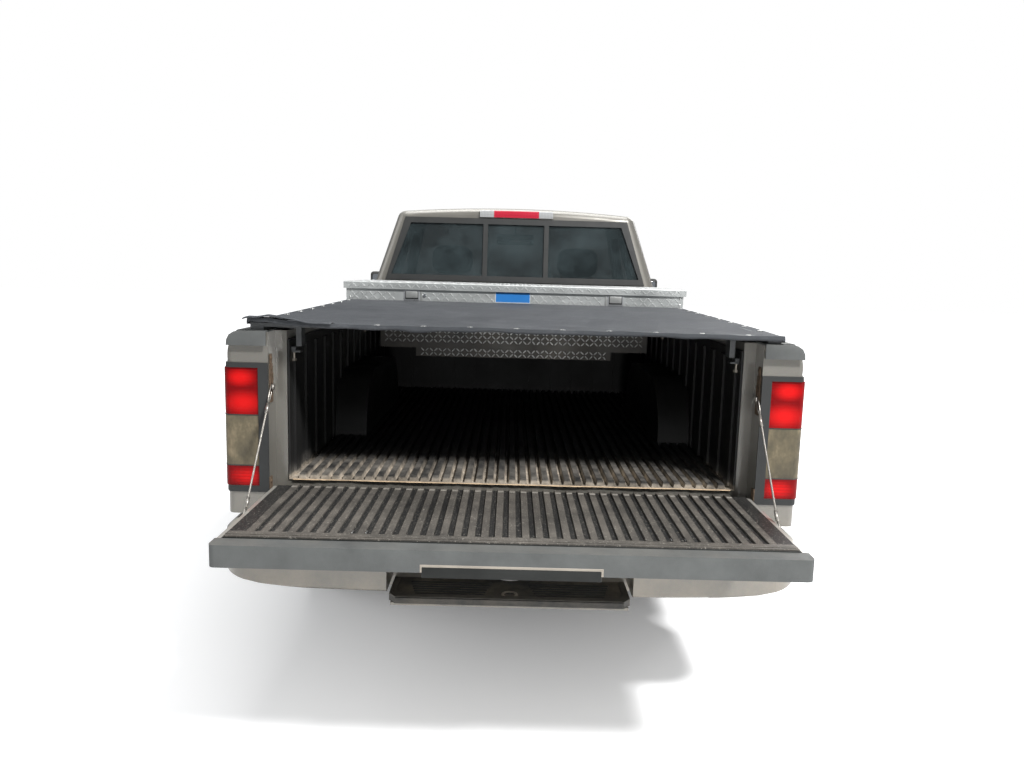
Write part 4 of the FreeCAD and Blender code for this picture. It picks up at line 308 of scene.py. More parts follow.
def tread_plate_finish():
    """Rolled aluminium: bright, a little scratched, and greyed low down as painted shade."""
    tree = Tree("tread_plate")
    cloud = tree.noise(5.0, 6.0, 0.7)
    shade = tree.ramp(cloud, (0.3, (0.55, 0.56, 0.55)), (0.7, (0.74, 0.75, 0.74)))
    scratches = tree.noise(30.0, 4.0, 0.7, (1.0, 14.0, 14.0))
    shade = tree.mix(tree.times(scratches, 0.25), shade, (0.42, 0.42, 0.41))
    # painted shade on the marks that lie low in the bed
    shade = shaded_below(tree, shade, SHADE_HEIGHT, 0.40)
    return tree.give(shade, tree.span(scratches, 0.3, 0.7, 0.28, 0.46), Metallic=0.75,
                     Normal=tree.bump(scratches, 0.0002, 0.4))


def vinyl_finish():
    """Coated cover cloth: fine woven backing, dull sheen, pale creases and dust."""
    tree = Tree("cover_vinyl")
    cloud = tree.noise(3.2, 6.0, 0.68)
    shade = tree.ramp(cloud, (0.28, (0.026, 0.029, 0.033)), (0.72, (0.058, 0.062, 0.068)))
    pale = tree.span(tree.noise(9.0, 7.0, 0.75, (1.0, 2.6, 1.0)), 0.52, 0.74)
    shade = tree.mix(tree.times(pale, 0.40), shade, (0.125, 0.130, 0.137))
    weave = tree.bump(tree.plus(tree.bands("X", 420.0), tree.bands("Y", 420.0)), 0.0002, 0.35)
    return tree.give(shade, tree.span(cloud, 0.3, 0.7, 0.50, 0.68), Sheen_Weight=0.03,
                     Specular_IOR_Level=0.25,
                     Normal=tree.bump(tree.noise(26.0, 4.0), 0.0012, 0.5, weave))


def tyre_finish():
    """Black rubber with brown dust worked into it."""
    tree = Tree("tyre_rubber")
    shade = tree.ramp(tree.noise(14.0, 6.0, 0.7),
                      (0.3, (0.022, 0.022, 0.023)), (0.75, (0.060, 0.056, 0.050)))
    return tree.give(shade, 0.78, Normal=tree.bump(tree.noise(240.0, 2.0), 0.0004, 0.6))


def glass_finish(name, tint, alpha, roughness=0.02, painted_sheen=(0.7, 2.2)):
    """Glass or a clear lens: tinted, see-through, with patches of painted reflection and faint dust
    between two strengths.
    """
    tree = Tree(name)
    # Painted reflection: these patches lift the tint up to the higher strength, as sky seen in the
    # glass, and also stand for faint dust; the see-through share follows them
    dust = tree.noise(4.0, 6.0, 0.7)
    shade = tree.ramp(dust, (0.38, tinted(tint, painted_sheen[0])), (0.72, tinted(tint, painted_sheen[1])))
    cover = tree.span(dust, 0.3, 0.8, alpha, min(alpha + 0.08, 1.0))
    return tree.give(shade, roughness, Alpha=cover, Specular_IOR_Level=0.4)


LENS_BREAKS = (0.722, 0.870)
# Painted highlights on the tail lens: (across, height, radius) of each bright red spot
LENS_HIGHLIGHTS = ((0.784, 0.978, 0.034), (0.776, 0.906, 0.046), (0.775, 0.690, 0.034))


def lens_finish():
    """A tail lamp's moulding: red with painted highlights as brighter spots, two in the upper red
    and one in the foot, a pale ribbed middle and a red foot.
    """
    tree = Tree("tail_lens")
    height = tree.axis("Z")
    out = tree.math("ABSOLUTE", tree.axis("X"))
    # Deep red is the lens's own colour; the bright red is a painted highlight, mixed in over the
    # spots
    deep, bright = (0.150, 0.0008, 0.0018), (0.560, 0.006, 0.006)
    painted_highlight = 0.0
    for place_x, place_z, radius in LENS_HIGHLIGHTS:
        across = tree.times(tree.math("SUBTRACT", out, place_x), 0.62)
        up = tree.math("SUBTRACT", height, place_z)
        squares = (tree.math("POWER", across, 2.0), tree.math("POWER", up, 2.0))
        away = tree.math("SQRT", tree.plus(*squares))
        highlight_spot = tree.add("MapRange", {"interpolation_type": "SMOOTHSTEP"},
                        Value=away, i1=radius, i2=0.004)
        painted_highlight = tree.math("MAXIMUM", highlight_spot.outputs[0], painted_highlight)
    red = tree.mix(painted_highlight, deep, bright)
    flutes, rows = tree.bands("X", 90.0), tree.bands("Z", 34.0)
    bulb = tree.noise(26.0, 3.0, 0.6, (1.0, 1.0, 0.7))
    pale = tree.ramp(bulb, (0.30, (0.080, 0.070, 0.050)), (0.55, (0.140, 0.118, 0.076)),
                     (0.75, (0.250, 0.200, 0.130)))
    pale = tree.mix(tree.times(flutes, 0.35), pale, (0.06, 0.055, 0.045))
    upper = tree.math("GREATER_THAN", height, LENS_BREAKS[1])
    lower = tree.math("LESS_THAN", height, LENS_BREAKS[0])
    red = tree.mix(tree.times(rows, lower, 0.35), red, deep)
    shade = tree.mix(tree.math("MAXIMUM", upper, lower), pale, red)
    ribs = tree.plus(tree.times(rows, 0.5), tree.times(flutes, 0.3))
    return tree.give(shade, 0.20, Specular_IOR_Level=0.12, Normal=tree.bump(ribs, 0.0004, 0.35))


def high_lamp_finish():
    """The high lamp: red in its middle and clear at both ends."""
    tree = Tree("high_lamp_lens")
    end = tree.math("GREATER_THAN", tree.math("ABSOLUTE", tree.axis("X")), 0.118)
    shade = tree.mix(end, (0.42, 0.010, 0.030), (0.32, 0.33, 0.33))
    ribs = tree.bands("X", 40.0)
    shade = tree.mix(tree.times(ribs, 0.3), shade, (0.3, 0.2, 0.2), "MULTIPLY")
    return tree.give(shade, 0.15, Coat_Weight=1.0, Normal=tree.bump(ribs, 0.0005, 0.5))


def cloth_finish(name, base, scale):
    """Woven seat cloth with a soft nap."""
    tree = Tree(name)
    shade = tree.ramp(tree.noise(12.0, 5.0), (0.3, tinted(base, 0.8)), (0.7, tinted(base, 1.2)))
    weave = tree.add("TexVoronoi", Vector=tree.place, Scale=scale).outputs["Distance"]
    shade = tree.mix(tree.times(weave, 0.4), shade, tinted(base, 0.5))
    return tree.give(shade, 0.9, Sheen_Weight=0.4, Normal=tree.bump(weave, 0.0006, 0.7))


# For each plain finish: material, colour, roughness, metal, mottle, its scale, and the rest
PLAIN_FINISHES = {
    "frame_paint": ("chassis_paint", (0.045, 0.043, 0.040), 0.55, 0.0, 0.15, 9.0,
                    {"dust": (0.9, 1.1, 0.3), "grain": (120.0, 0.0004)}),
    "cast": ("cast_metal", (0.16, 0.15, 0.14), 0.62, 0.5, 0.15, 9.0,
             {"dust": (0.8, 0.9, 0.3), "grain": (180.0, 0.0006)}),
    "steel": ("worn_steel", (0.42, 0.38, 0.33), 0.40, 0.85, 0.22, 22.0,
              {"grain": (300.0, 0.0002)}),
    "alloy": ("cast_alloy", (0.55, 0.56, 0.57), 0.32, 0.75, 0.08, 16.0,
              {"dust": (0.5, 0.9, 0.0)}),
    "black_plastic": ("black_moulding", (0.026, 0.027, 0.027), 0.50, 0.0, 0.15, 9.0,
                      {"dust": (0.5, 0.6, 0.18), "grain": (420.0, 0.0003), "shine": 0.3}),
    "cap_plastic": ("grey_moulding", (0.084, 0.088, 0.086), 0.55, 0.0, 0.22, 9.0,
                    {"dust": (0.0, 0.5, 0.12), "grain": (380.0, 0.0004), "shine": 0.3}),
    "rib_head": ("rib_head_scuffs", (0.20, 0.185, 0.16), 0.5, 0.0, 0.3, 40.0,
                 {"grain": (200.0, 0.0003)}),
    "step_lip": ("step_lip_moulding", (0.085, 0.079, 0.069), 0.6, 0.0, 0.3, 14.0,
                 {"grain": (260.0, 0.0004)}),
    "bar_plastic": ("dark_bar", (0.016, 0.017, 0.016), 0.5, 0.0, 0.25, 9.0,
                    {"grain": (380.0, 0.0004), "shine": 0.2}),
    "shaded_edge": ("shaded_edge", (0.27, 0.24, 0.20), 0.5, 0.0, 0.2, 9.0, {}),
    "dull_alloy": ("dull_alloy", (0.085, 0.088, 0.090), 0.45, 0.6, 0.3, 30.0, {}),
    "sand": ("trapped_sand", (0.42, 0.31, 0.20), 0.9, 0.0, 0.3, 60.0, {"grain": (500.0, 0.0006)}),
    "cable": ("stay_steel", (0.33, 0.31, 0.28), 0.38, 0.8, 0.25, 60.0, {}),
    "worn_alloy": ("worn_alloy", (0.44, 0.445, 0.43), 0.38, 0.6, 0.15, 30.0, {}),
    "worn_steel": ("rubbed_steel", (0.30, 0.27, 0.23), 0.45, 0.7, 0.3, 40.0, {}),
    "off_white": ("off_white", (0.80, 0.80, 0.78), 0.5, 0.0, 0.06, 9.0, {}),
    "interior": ("cabin_moulding", (0.10, 0.095, 0.09), 0.7, 0.0, 0.15, 9.0,
                 {"grain": (500.0, 0.0003)}),
    "rubber": ("dark_rubber", (0.040, 0.043, 0.044), 0.55, 0.0, 0.15, 9.0,
               {"grain": (300.0, 0.0002), "shine": 0.3}),
    "zinc": ("zinc_cap", (0.60, 0.60, 0.58), 0.28, 0.9, 0.1, 30.0, {}),
    "chrome": ("bright_metal", (0.78, 0.79, 0.80), 0.10, 1.0, 0.04, 9.0, {}),
    "rust": ("rusty_steel", (0.115, 0.078, 0.050), 0.8, 0.25, 0.5, 60.0,
             {"grain": (260.0, 0.0006)}),
    "blue": ("blue_sticker", (0.022, 0.170, 0.480), 0.35, 0.0, 0.06, 9.0,
             {"grain": (300.0, 0.0001)}),
    "mirror": ("mirror_glass", (0.72, 0.74, 0.76), 0.03, 1.0, 0.02, 9.0, {}),
    "amber": ("amber_lens", (0.72, 0.26, 0.02), 0.12, 0.0, 0.15, 9.0,
              {"coat": 1.0, "grain": (200.0, 0.0003)}),
    "bowl": ("lamp_bowl", (0.70, 0.71, 0.72), 0.15, 1.0, 0.04, 9.0, {}),
}


def make_finishes():
    """One finish for each material slot of the record, and a few for added pieces."""
    made = {name: plain_finish(*row[:-1], **row[-1]) for name, row in PLAIN_FINISHES.items()}
    made.update({
        "paint": paint_finish(),
        "tread_plate": tread_plate_finish(),
        "tyre": tyre_finish(),
        "liner_plastic": liner_finish("liner_moulding", gate=False),
        "gate_liner": liner_finish("gate_liner_moulding", gate=True),
        "fabric": cloth_finish("seat_cloth", (0.055, 0.055, 0.058), 420.0),
        "vinyl": vinyl_finish(),
        "glass": glass_finish("window_glass", (0.022, 0.030, 0.032), 0.66),
        "lamp_red": lens_finish(),
        "lamp_clear": glass_finish("clear_lens", (0.62, 0.65, 0.67), 0.26, 0.05, (0.92, 1.08)),
        "high_lamp": high_lamp_finish(),
        "plate_ground": plate_ground_finish(),
    })
    return made


# Mesh helpers

FINISH = {}
SHARP_ANGLE = math.radians(35.0)


def linked(name, data):
    """A new object in the scene."""
    made = bpy.data.objects.new(name, data)
    bpy.context.scene.collection.objects.link(made)
    return made


def piece(name, mesh_or_bm, finish, body="truck", smooth=True, replaced=()):
    """A new object from a mesh, with its finish, riding on a body if one is named."""
    if isinstance(mesh_or_bm, bmesh.types.BMesh):
        mesh = bpy.data.meshes.new(name)
        bmesh.ops.recalc_face_normals(mesh_or_bm, faces=mesh_or_bm.faces)
        mesh_or_bm.to_mesh(mesh)
        mesh_or_bm.free()
    else:
        mesh = mesh_or_bm
        mesh.name = name
    mesh.materials.clear()
    mesh.materials.append(FINISH[finish])
    if smooth:
        mesh.shade_smooth()
    made = linked(name, mesh)
    if smooth:
        sharpen(mesh)
    if body:
        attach(made, body)
    if replaced:
        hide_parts(*replaced)
    return made


def sharpen(mesh):
    """Marks a mesh's sharp edges, so that flat faces stay flat when smooth."""
    bm = bmesh.new()
    bm.from_mesh(mesh)
    for edge in bm.edges:
        if len(edge.link_faces) == 2 and edge.calc_face_angle(0.0) > SHARP_ANGLE:
            edge.smooth = False
    bm.to_mesh(mesh)
    bm.free()


def evaluated_mesh(made):
    graph = bpy.context.evaluated_depsgraph_get()
    return bpy.data.meshes.new_from_object(made.evaluated_get(graph))


def finished(made, kind, **settings):
    """Applies one modifier and leaves the plain mesh."""
    modifier = made.modifiers.new("step", kind)
    for key, value in settings.items():
        setattr(modifier, key, value)
    mesh = evaluated_mesh(made)
    made.modifiers.clear()
    old, made.data = made.data, mesh
    bpy.data.meshes.remove(old)


def joined(bm, part):
    """Adds one bmesh to another and gives the result."""
    if bm is None:
        return part
    spare = bpy.data.meshes.new("spare")
    part.to_mesh(spare)
    part.free()
    bm.from_mesh(spare)
    bpy.data.meshes.remove(spare)
    return bm


def bevelled(part, edges, width, segments):
    if width:
        bmesh.ops.bevel(part, geom=edges, offset=width, segments=segments, affect="EDGES",
                        profile=0.5)


def skin(part, rings, closed=False):
    """Faces between each ring of vertices and the next; a closed skin also joins last to first."""
    pairs = list(zip(rings, rings[1:])) + ([(rings[-1], rings[0])] if closed else [])
    for one, two in pairs:
        count = max(len(one), len(two))
        for step in range(count):
            after = (step + 1) % count
            corners = [one[step % len(one)], one[after % len(one)],
                       two[after % len(two)], two[step % len(two)]]
            corners = list(dict.fromkeys(corners))
            if len(corners) > 2:
                part.faces.new(corners)


def sheet_faces(bm, rows, keep=None):
    """Faces between rows of vertices that form an open sheet."""
    for low, high in zip(rows, rows[1:]):
        for index in range(len(low) - 1):
            if keep is None or keep(low, high, index):
                bm.faces.new((low[index], low[index + 1], high[index + 1], high[index]))


def closed_up(part, bm):
    """The part with its faces all turned outward, added to another if there is one."""
    bmesh.ops.recalc_face_normals(part, faces=part.faces)
    return joined(bm, part)


def box_bm(low, high, bevel=0.0, segments=2, bm=None):
    """A box between two corners, with rounded edges."""
    part = bmesh.new()
    bmesh.ops.create_cube(part, size=1.0)
    size = [high[i] - low[i] for i in range(3)]
    middle = [(high[i] + low[i]) / 2 for i in range(3)]
    bmesh.ops.scale(part, vec=size, verts=part.verts)
    bmesh.ops.translate(part, vec=middle, verts=part.verts)
    bevelled(part, part.edges[:], bevel, segments)
    return joined(bm, part)


def side_box_bm(side, low, high, bevel, segments, bm):
    """A box given for the left side, or its mirror image for side -1."""
    near, far = sorted((side * low[0], side * high[0]))
    return box_bm((near, *low[1:]), (far, *high[1:]), bevel, segments, bm)


def turned(profile, segments, axis="X", centre=UNTURNED, bm=None, hoop=False, side=1):
    """A surface of revolution from (along, radius) points; a hoop's last ring joins its first.

    The profile is mirrored along the axis for side -1.
    """
    part = bmesh.new()
    rings = []
    for along, radius in profile:
        ring = []
        for step in range(segments if radius else 1):
            angle = 2 * math.pi * step / segments
            a, b, c = radius * math.cos(angle), radius * math.sin(angle), side * along
            point = {"X": (c, a, b), "Y": (a, c, b), "Z": (a, b, c)}[axis]
            ring.append(part.verts.new(Vector(point) + Vector(centre)))
        rings.append(ring)
    skin(part, rings, hoop)
    for ring in () if hoop else (rings[0], rings[-1]):
        if len(ring) > 2:
            part.faces.new(ring)
    return closed_up(part, bm)


def tube_bm(points, radius, sides=8, bm=None, closed=False):
    """A round bar through points."""
    part = bmesh.new()
    line = [Vector(point) for point in points]
    count = len(line)
    rings = []
    for index, point in enumerate(line):
        ahead = line[(index + 1) % count] if closed or index + 1 < count else point
        back = line[index - 1] if closed or index else point
        run = (ahead - back).normalized()
        side = run.cross(Vector((0.013, 0.027, 1.0)))
        if side.length < 0.05:
            side = run.cross(Vector((1.0, 0.1, 0.0)))
        side.normalize()
        over = side.cross(run)
        rings.append([
            part.verts.new(point + radius * (side * math.cos(turn) + over * math.sin(turn)))
            for turn in (2 * math.pi * step / sides for step in range(sides))
        ])
    skin(part, rings, closed)
    if not closed:
        part.faces.new(rings[0])
        part.faces.new(rings[-1])
    return closed_up(part, bm)


def outline_bm(points, thickness, lift, bevel=0.0, bm=None):
    """A flat outline made solid: its points are placed by a function of (u, v, depth)."""
    part = bmesh.new()
    front = [part.verts.new(lift(u, v, thickness)) for u, v in points]
    rear = [part.verts.new(lift(u, v, 0.0)) for u, v in points]
    part.faces.new(front)
    part.faces.new(list(reversed(rear)))
    skin(part, (rear, front))
    bmesh.ops.recalc_face_normals(part, faces=part.faces)
    rim = [edge for edge in part.edges if edge.verts[0] in front and edge.verts[1] in front]
    bevelled(part, rim, bevel, 2)
    return joined(bm, part)


def rounded_outline(half_u, half_v, corner, steps=5):
    """Points of a rectangle with rounded corners, about its middle."""
    points = []
    for cu, cv, start in ((1, 1, 0), (-1, 1, 90), (-1, -1, 180), (1, -1, 270)):
        for step in range(steps + 1):
            angle = math.radians(start + 90 * step / steps)
            points.append((
                cu * (half_u - corner) + corner * math.cos(angle),
                cv * (half_v - corner) + corner * math.sin(angle),
            ))
    return points


def panel_bm(half_u, half_v, corner, thickness, lift, bevel=0.0, bm=None):
    """A small plate with rounded corners, set where the lift function says."""
    return outline_bm(rounded_outline(half_u, half_v, corner), thickness, lift, bevel, bm)


def disc_bm(radius, steps, thickness, lift, bevel, bm):
    """A round plate set where the lift function says."""
    ring = rounded_outline(radius, radius, radius - 0.0002, steps)
    return outline_bm(ring, thickness, lift, bevel, bm)


# Repeats


def scatter_tree():
    """A tree that sets one small part on every point, turned by the point's own angles."""
    tree = bpy.data.node_groups.new("set_on_points", "GeometryNodeTree")
    for name, way, kind in (("Points", "INPUT", "Geometry"), ("Part", "INPUT", "Object"),
                            ("Finish", "INPUT", "Material"), ("Result", "OUTPUT", "Geometry")):
        tree.interface.new_socket(name, in_out=way, socket_type="NodeSocket" + kind)
    start, end, part, turn, rotation, stand, real, coat = (tree.nodes.new(kind) for kind in (
        "NodeGroupInput", "NodeGroupOutput", "GeometryNodeObjectInfo",
        "GeometryNodeInputNamedAttribute", "FunctionNodeEulerToRotation",
        "GeometryNodeInstanceOnPoints", "GeometryNodeRealizeInstances",
        "GeometryNodeSetMaterial",
    ))
    turn.data_type = "FLOAT_VECTOR"
    turn.inputs["Name"].default_value = "turn"
    for source, outlet, target, inlet in (
        (start, "Points", stand, "Points"),
        (start, "Part", part, "Object"),
        (part, "Geometry", stand, "Instance"),
        (turn, 0, rotation, 0),
        (rotation, 0, stand, "Rotation"),
        (stand, 0, real, 0),
        (real, 0, coat, "Geometry"),
        (start, "Finish", coat, "Material"),
        (coat, 0, end, 0),
    ):
        tree.links.new(source.outputs[outlet], target.inputs[inlet])
    return tree


def scattered(name, places, part_bm, finish, body="truck", smooth=True):
    """Copies of a small part at (point, turn) places, as one plain mesh."""
    tree = bpy.data.node_groups.get("set_on_points") or scatter_tree()
    part_mesh = bpy.data.meshes.new("part_shape")
    part_bm.to_mesh(part_mesh)
    part_bm.free()
    if smooth:
        part_mesh.shade_smooth()
    spare = linked("part_shape", part_mesh)
    cloud = bpy.data.meshes.new("points")
    cloud.from_pydata([tuple(point) for point, _ in places], [], [])
    turns = cloud.attributes.new("turn", "FLOAT_VECTOR", "POINT")
    for index, (_, turn) in enumerate(places):
        turns.data[index].vector = turn
    holder = linked("points", cloud)
    modifier = holder.modifiers.new("repeat", "NODES")
    modifier.node_group = tree
    values = {"Part": spare, "Finish": FINISH[finish]}
    for item in tree.interface.items_tree:
        if item.in_out == "INPUT" and item.name in values:
            modifier[item.identifier] = values[item.name]
    mesh = evaluated_mesh(holder)
    for leftover in (holder, spare):
        data = leftover.data
        bpy.data.objects.remove(leftover)
        bpy.data.meshes.remove(data)
    if "turn" in mesh.attributes:
        mesh.attributes.remove(mesh.attributes["turn"])
    piece(name, mesh, finish, body, smooth=False)
    if smooth:
        mesh.shade_smooth()
        sharpen(mesh)


# Tonneau cover

COVER_LOW, COVER_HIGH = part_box("tonneau_cover")
COVER_FRONT = COVER_LOW.y
COVER_HALF = COVER_HIGH.x
COVER_DROP = 0.015
SHEET = 0.0014
HEM = 0.018
BOWS = (COVER_FRONT + 0.012, COVER_FRONT + 0.470, COVER_FRONT + 0.930, TAIL_Y - 0.012)


def uneven(*place):
    """Smooth noise at a place."""
    return noise.noise(Vector(place))


def bow_share(y):
    """How far a place lies between the two bows around it, from 0 at one to 1 at the next."""
    for low, high in zip(BOWS, BOWS[1:]):
        if y <= high:
            return max(0.0, (y - low) / (high - low))
    return 1.0


def cover_height(x, y, sag):
    """The cover's top: sloping, hollow between its bows, and creased by its fastenings."""
    share = (y - COVER_FRONT) / (TAIL_Y - COVER_FRONT)
    base = COVER_HIGH.z - share * COVER_DROP - SHEET
    across = 1.0 - min(abs(x) / COVER_HALF, 1.0) ** 4
    hollow = math.sin(math.pi * bow_share(y)) ** 1.3 * across
    slow = uneven(x * 3.1, y * 2.3, 4.0)
    crease = uneven(x * 2.2 + y * 3.0, (y - x) * 9.0, 9.0)
    fold = uneven(x * 16.0, y * 3.4, 2.0)
    drop = sag * hollow
    drop += hollow * (0.0035 * (slow + 0.5) + 0.0042 * abs(crease) + 0.0018 * (fold + 0.6))
    to_tail = TAIL_Y - y
    pull = 0.5 - 0.5 * math.cos(2 * math.pi * (x + 0.065) / 0.13)
    drop += max(0.0, 1.0 - to_tail / 0.30) * min(1.0, to_tail / 0.05) * 0.0045 * pull
    wave = 0.0034 * uneven(x * 5.2, 7.0, 3.0) + 0.0016 * uneven(x * 15.0, 7.0, 5.0)
    base += wave * max(0.0, 1.0 - to_tail / 0.10)
    away = ((x - COVER_HALF + 0.035) / 0.110) ** 2 + ((to_tail - 0.020) / 0.130) ** 2
    lifted = 0.013 * math.exp(-away) * (1.0 + 0.35 * uneven(x * 30.0, y * 26.0, 6.0))
    return base - max(drop, 0.0) + lifted


def build_cover(sag):
    """The stretched vinyl sheet, with its hems down the rails and over the rear bar."""
    cell, out = 0.0095, 0.0012
    inside = int(COVER_HALF / cell)
    hems = (COVER_HALF, COVER_HALF + HEM / 2, COVER_HALF + HEM)
    across = [-x for x in reversed(hems)] + [i * cell for i in range(-inside, inside + 1)]
    across += hems
    count = int((TAIL_Y - COVER_FRONT) / cell)
    along = [COVER_FRONT + (TAIL_Y - COVER_FRONT) * i / count for i in range(count + 1)]
    along += [TAIL_Y + HEM / 2, TAIL_Y + HEM]
    bm = bmesh.new()
    rows = []
    for y in along:
        row = []
        for x in across:
            over_x, over_y = max(abs(x) - COVER_HALF, 0.0), max(y - TAIL_Y, 0.0)
            flat_x, flat_y = max(-COVER_HALF, min(COVER_HALF, x)), min(y, TAIL_Y)
            hang = over_x + over_y * (0.72 + 0.45 * uneven(x * 9.0, 1.0, 8.0))
            row.append(bm.verts.new((
                flat_x + math.copysign(out, x) * (over_x > 0), flat_y + out * (over_y > 0),
                cover_height(flat_x, flat_y, sag) - hang,
            )))
        rows.append(row)

    def outside_hem_corner(low, high, index):
        middle = (across[index] + across[index + 1]) / 2
        return abs(middle) <= COVER_HALF or high[0].co.z >= low[0].co.z - HEM / 3

    sheet_faces(bm, rows, outside_hem_corner)
    loose = [vertex for vertex in bm.verts if not vertex.link_faces]
    bmesh.ops.delete(bm, geom=loose, context="VERTS")
    cover = piece("cover_sheet", bm, "vinyl", replaced=("tonneau_cover",))
    finished(cover, "SOLIDIFY", thickness=SHEET, offset=0.0)


def build_torn_corner():
    """The torn strip that stands up from the cover's left tail corner."""
    bm = bmesh.new()
    rows = []
    for step in range(33):
        share = step / 32
        x = COVER_HALF + 0.012 - 0.250 * share
        torn = 0.006 * uneven(x * 40.0, 2.0, 2.0) + 0.004 * uneven(x * 95.0, 2.0, 6.0)
        stand = 0.0035 + 0.0085 * math.sin(math.pi * min(1.0, share * 1.25)) ** 2
        row = []
        for part in (place / 8 for place in range(9)):
            y = TAIL_Y - 0.070 * (1.0 - 0.45 * share) * (1.0 - part) + (0.012 + torn) * part
            over = max(x - COVER_HALF, 0.0)
            curl = stand * part ** 1.6 - 0.006 * max(part - 0.8, 0.0) / 0.2
            height = cover_height(min(x, COVER_HALF), min(y, TAIL_Y), 0.0)
            row.append(bm.verts.new((x, y, height + 0.0022 + curl - over * 0.3)))
        rows.append(row)
    sheet_faces(bm, rows)
    finished(piece("cover_torn_corner", bm, "vinyl"), "SOLIDIFY", thickness=SHEET, offset=0.0)


def build_snaps():
    """Press studs along the cover's tail edge and its sides."""
    studs = turned(((0.0, 0.0085), (0.0018, 0.0080), (0.0026, 0.0055), (0.0030, 0.0)), 14, "Z")
    spots = [(-0.66 + index * 0.132, TAIL_Y - 0.022) for index in range(11)]
    spots += [(side * (COVER_HALF - 0.018), COVER_FRONT + 0.08 + index * 0.165)
              for _, side in SIDES for index in range(8)]
    places = [(Vector((x, y, cover_height(x, y, 0.0) + 0.0006)), UNTURNED) for x, y in spots]
    scattered("cover_snaps", places, studs, "zinc")


# Seats

SEAT_X = 0.365
CUSHION_SEAMS = ((0, 0.55, 0.07, 0.06), (0, -0.55, 0.07, 0.06), (1, -0.45, 0.06, 0.04))
BACK_SEAMS = ((0, 0.55, 0.07, 0.06), (0, -0.55, 0.07, 0.06), (2, 0.5, 0.05, 0.04))
HEAD_SEAMS = ((2, 0.15, 0.05, 0.03),)
BACK_LEAN = Matrix.Translation((0.0, -0.415, 0.695)) @ Matrix.Shear("XY", 4, (0.0, 0.245))


def pad_bm(low, high, crown, power, seams):
    """A crowned pad in a box: a subdivided block drawn to a rounded form, with sewn channels."""
    bm = bmesh.new()
    bmesh.ops.create_cube(bm, size=2.0)
    bmesh.ops.subdivide_edges(bm, edges=bm.edges[:], cuts=11, use_grid_fill=True)
    half = [(high[i] - low[i]) / 2 for i in range(3)]
    middle = [(high[i] + low[i]) / 2 for i in range(3)]
    for vertex in bm.verts:
        unit = vertex.co.copy()
        length = sum(abs(c) ** power for c in unit) ** (1 / power)
        shaped = unit / length if length else unit
        pull = 1.0 - crown * (1.0 - max(abs(c) for c in shaped))
        for axis, place, width, depth in seams:
            away = abs(shaped[axis] - place) / width
            if away < 1.0:
                pull -= depth * (1.0 - away) ** 2
        vertex.co = Vector([middle[i] + shaped[i] * half[i] * pull for i in range(3)])
    return bm


def build_seats():
    """Two bucket seats: base, cushion, leaning back and head restraint."""
    for side_name, side in SIDES:
        x = side * SEAT_X
        cushion = pad_bm((x - 0.235, -0.925, 0.625), (x + 0.235, -0.395, 0.790), 0.25, 5.0,
                         CUSHION_SEAMS)
        back = pad_bm((x - 0.225, -0.085, 0.0), (x + 0.225, 0.075, 0.575), 0.25, 5.0, BACK_SEAMS)
        bmesh.ops.transform(back, verts=back.verts, matrix=BACK_LEAN)
        head = pad_bm((x - 0.118, -0.350, 1.272), (x + 0.118, -0.245, 1.440), 0.2, 3.6, HEAD_SEAMS)
        for name, pad, fill, replaced in (("seat_cushion", cushion, 0.7, ("front_seats",)),
                                          ("seat_back", back, 0.7, ()),
                                          ("head_restraint", head, 0.8, ())):
            made = piece("%s_%s" % (name, side_name), pad, "fabric", replaced=replaced)
            finished(made, "SUBSURF", levels=1, render_levels=1)
        base = box_bm((x - 0.185, -0.86, 0.5205), (x + 0.185, -0.44, 0.645), 0.012)
        for post in (x - 0.045, x + 0.045):
            base = tube_bm(((post, -0.298, 1.20), (post, -0.298, 1.30)), 0.0065, 10, base)
        piece("seat_base_%s" % side_name, base, "interior")


# Tyres

TYRE_LOW, TYRE_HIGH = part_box("tyre_rear_left")
TYRE_RADIUS = (TYRE_HIGH.z - TYRE_LOW.z) / 2
TYRE_HALF = (TYRE_HIGH.x - TYRE_LOW.x) / 2
BEAD = 0.2034
BLOCKS = 64
HUB_X = 0.710


def tyre_profile():
    """The tyre's section as (across, radius) from bead to bead, without its tread blocks."""
    half, outer = TYRE_HALF, TYRE_RADIUS - 0.009
    side = [
        (0.0835, BEAD), (0.0886, BEAD + 0.0195), (0.0935, BEAD + 0.024), (0.099, BEAD + 0.034),
        (0.1005, BEAD + 0.0355), (0.1005, BEAD + 0.0385), (half - 0.006, BEAD + 0.048),
        (half - 0.0015, BEAD + 0.062), (half, BEAD + 0.076), (half - 0.0012, BEAD + 0.092),
        (half - 0.0055, outer - 0.034), (half - 0.0052, outer - 0.031),
        (half - 0.0105, outer - 0.017), (half - 0.018, outer - 0.006), (half - 0.029, outer),
        (0.045, outer + 0.0008),
    ]
    return side + [(0.0, outer + 0.001)] + [(-x, r) for x, r in reversed(side)]


def tread_places(centre, rows):
    """Places of tread blocks in rows of (across, shift round the tyre, slant)."""
    radius = TYRE_RADIUS - 0.0100
    places = []
    for x, shift, slant in rows:
        for step in range(BLOCKS):
            angle = 2 * math.pi * (step + shift) / BLOCKS
            spot = Vector(centre) + Vector((x, -radius * math.sin(angle), radius * math.cos(angle)))
            places.append((spot, (angle, 0.0, slant)))
    return places


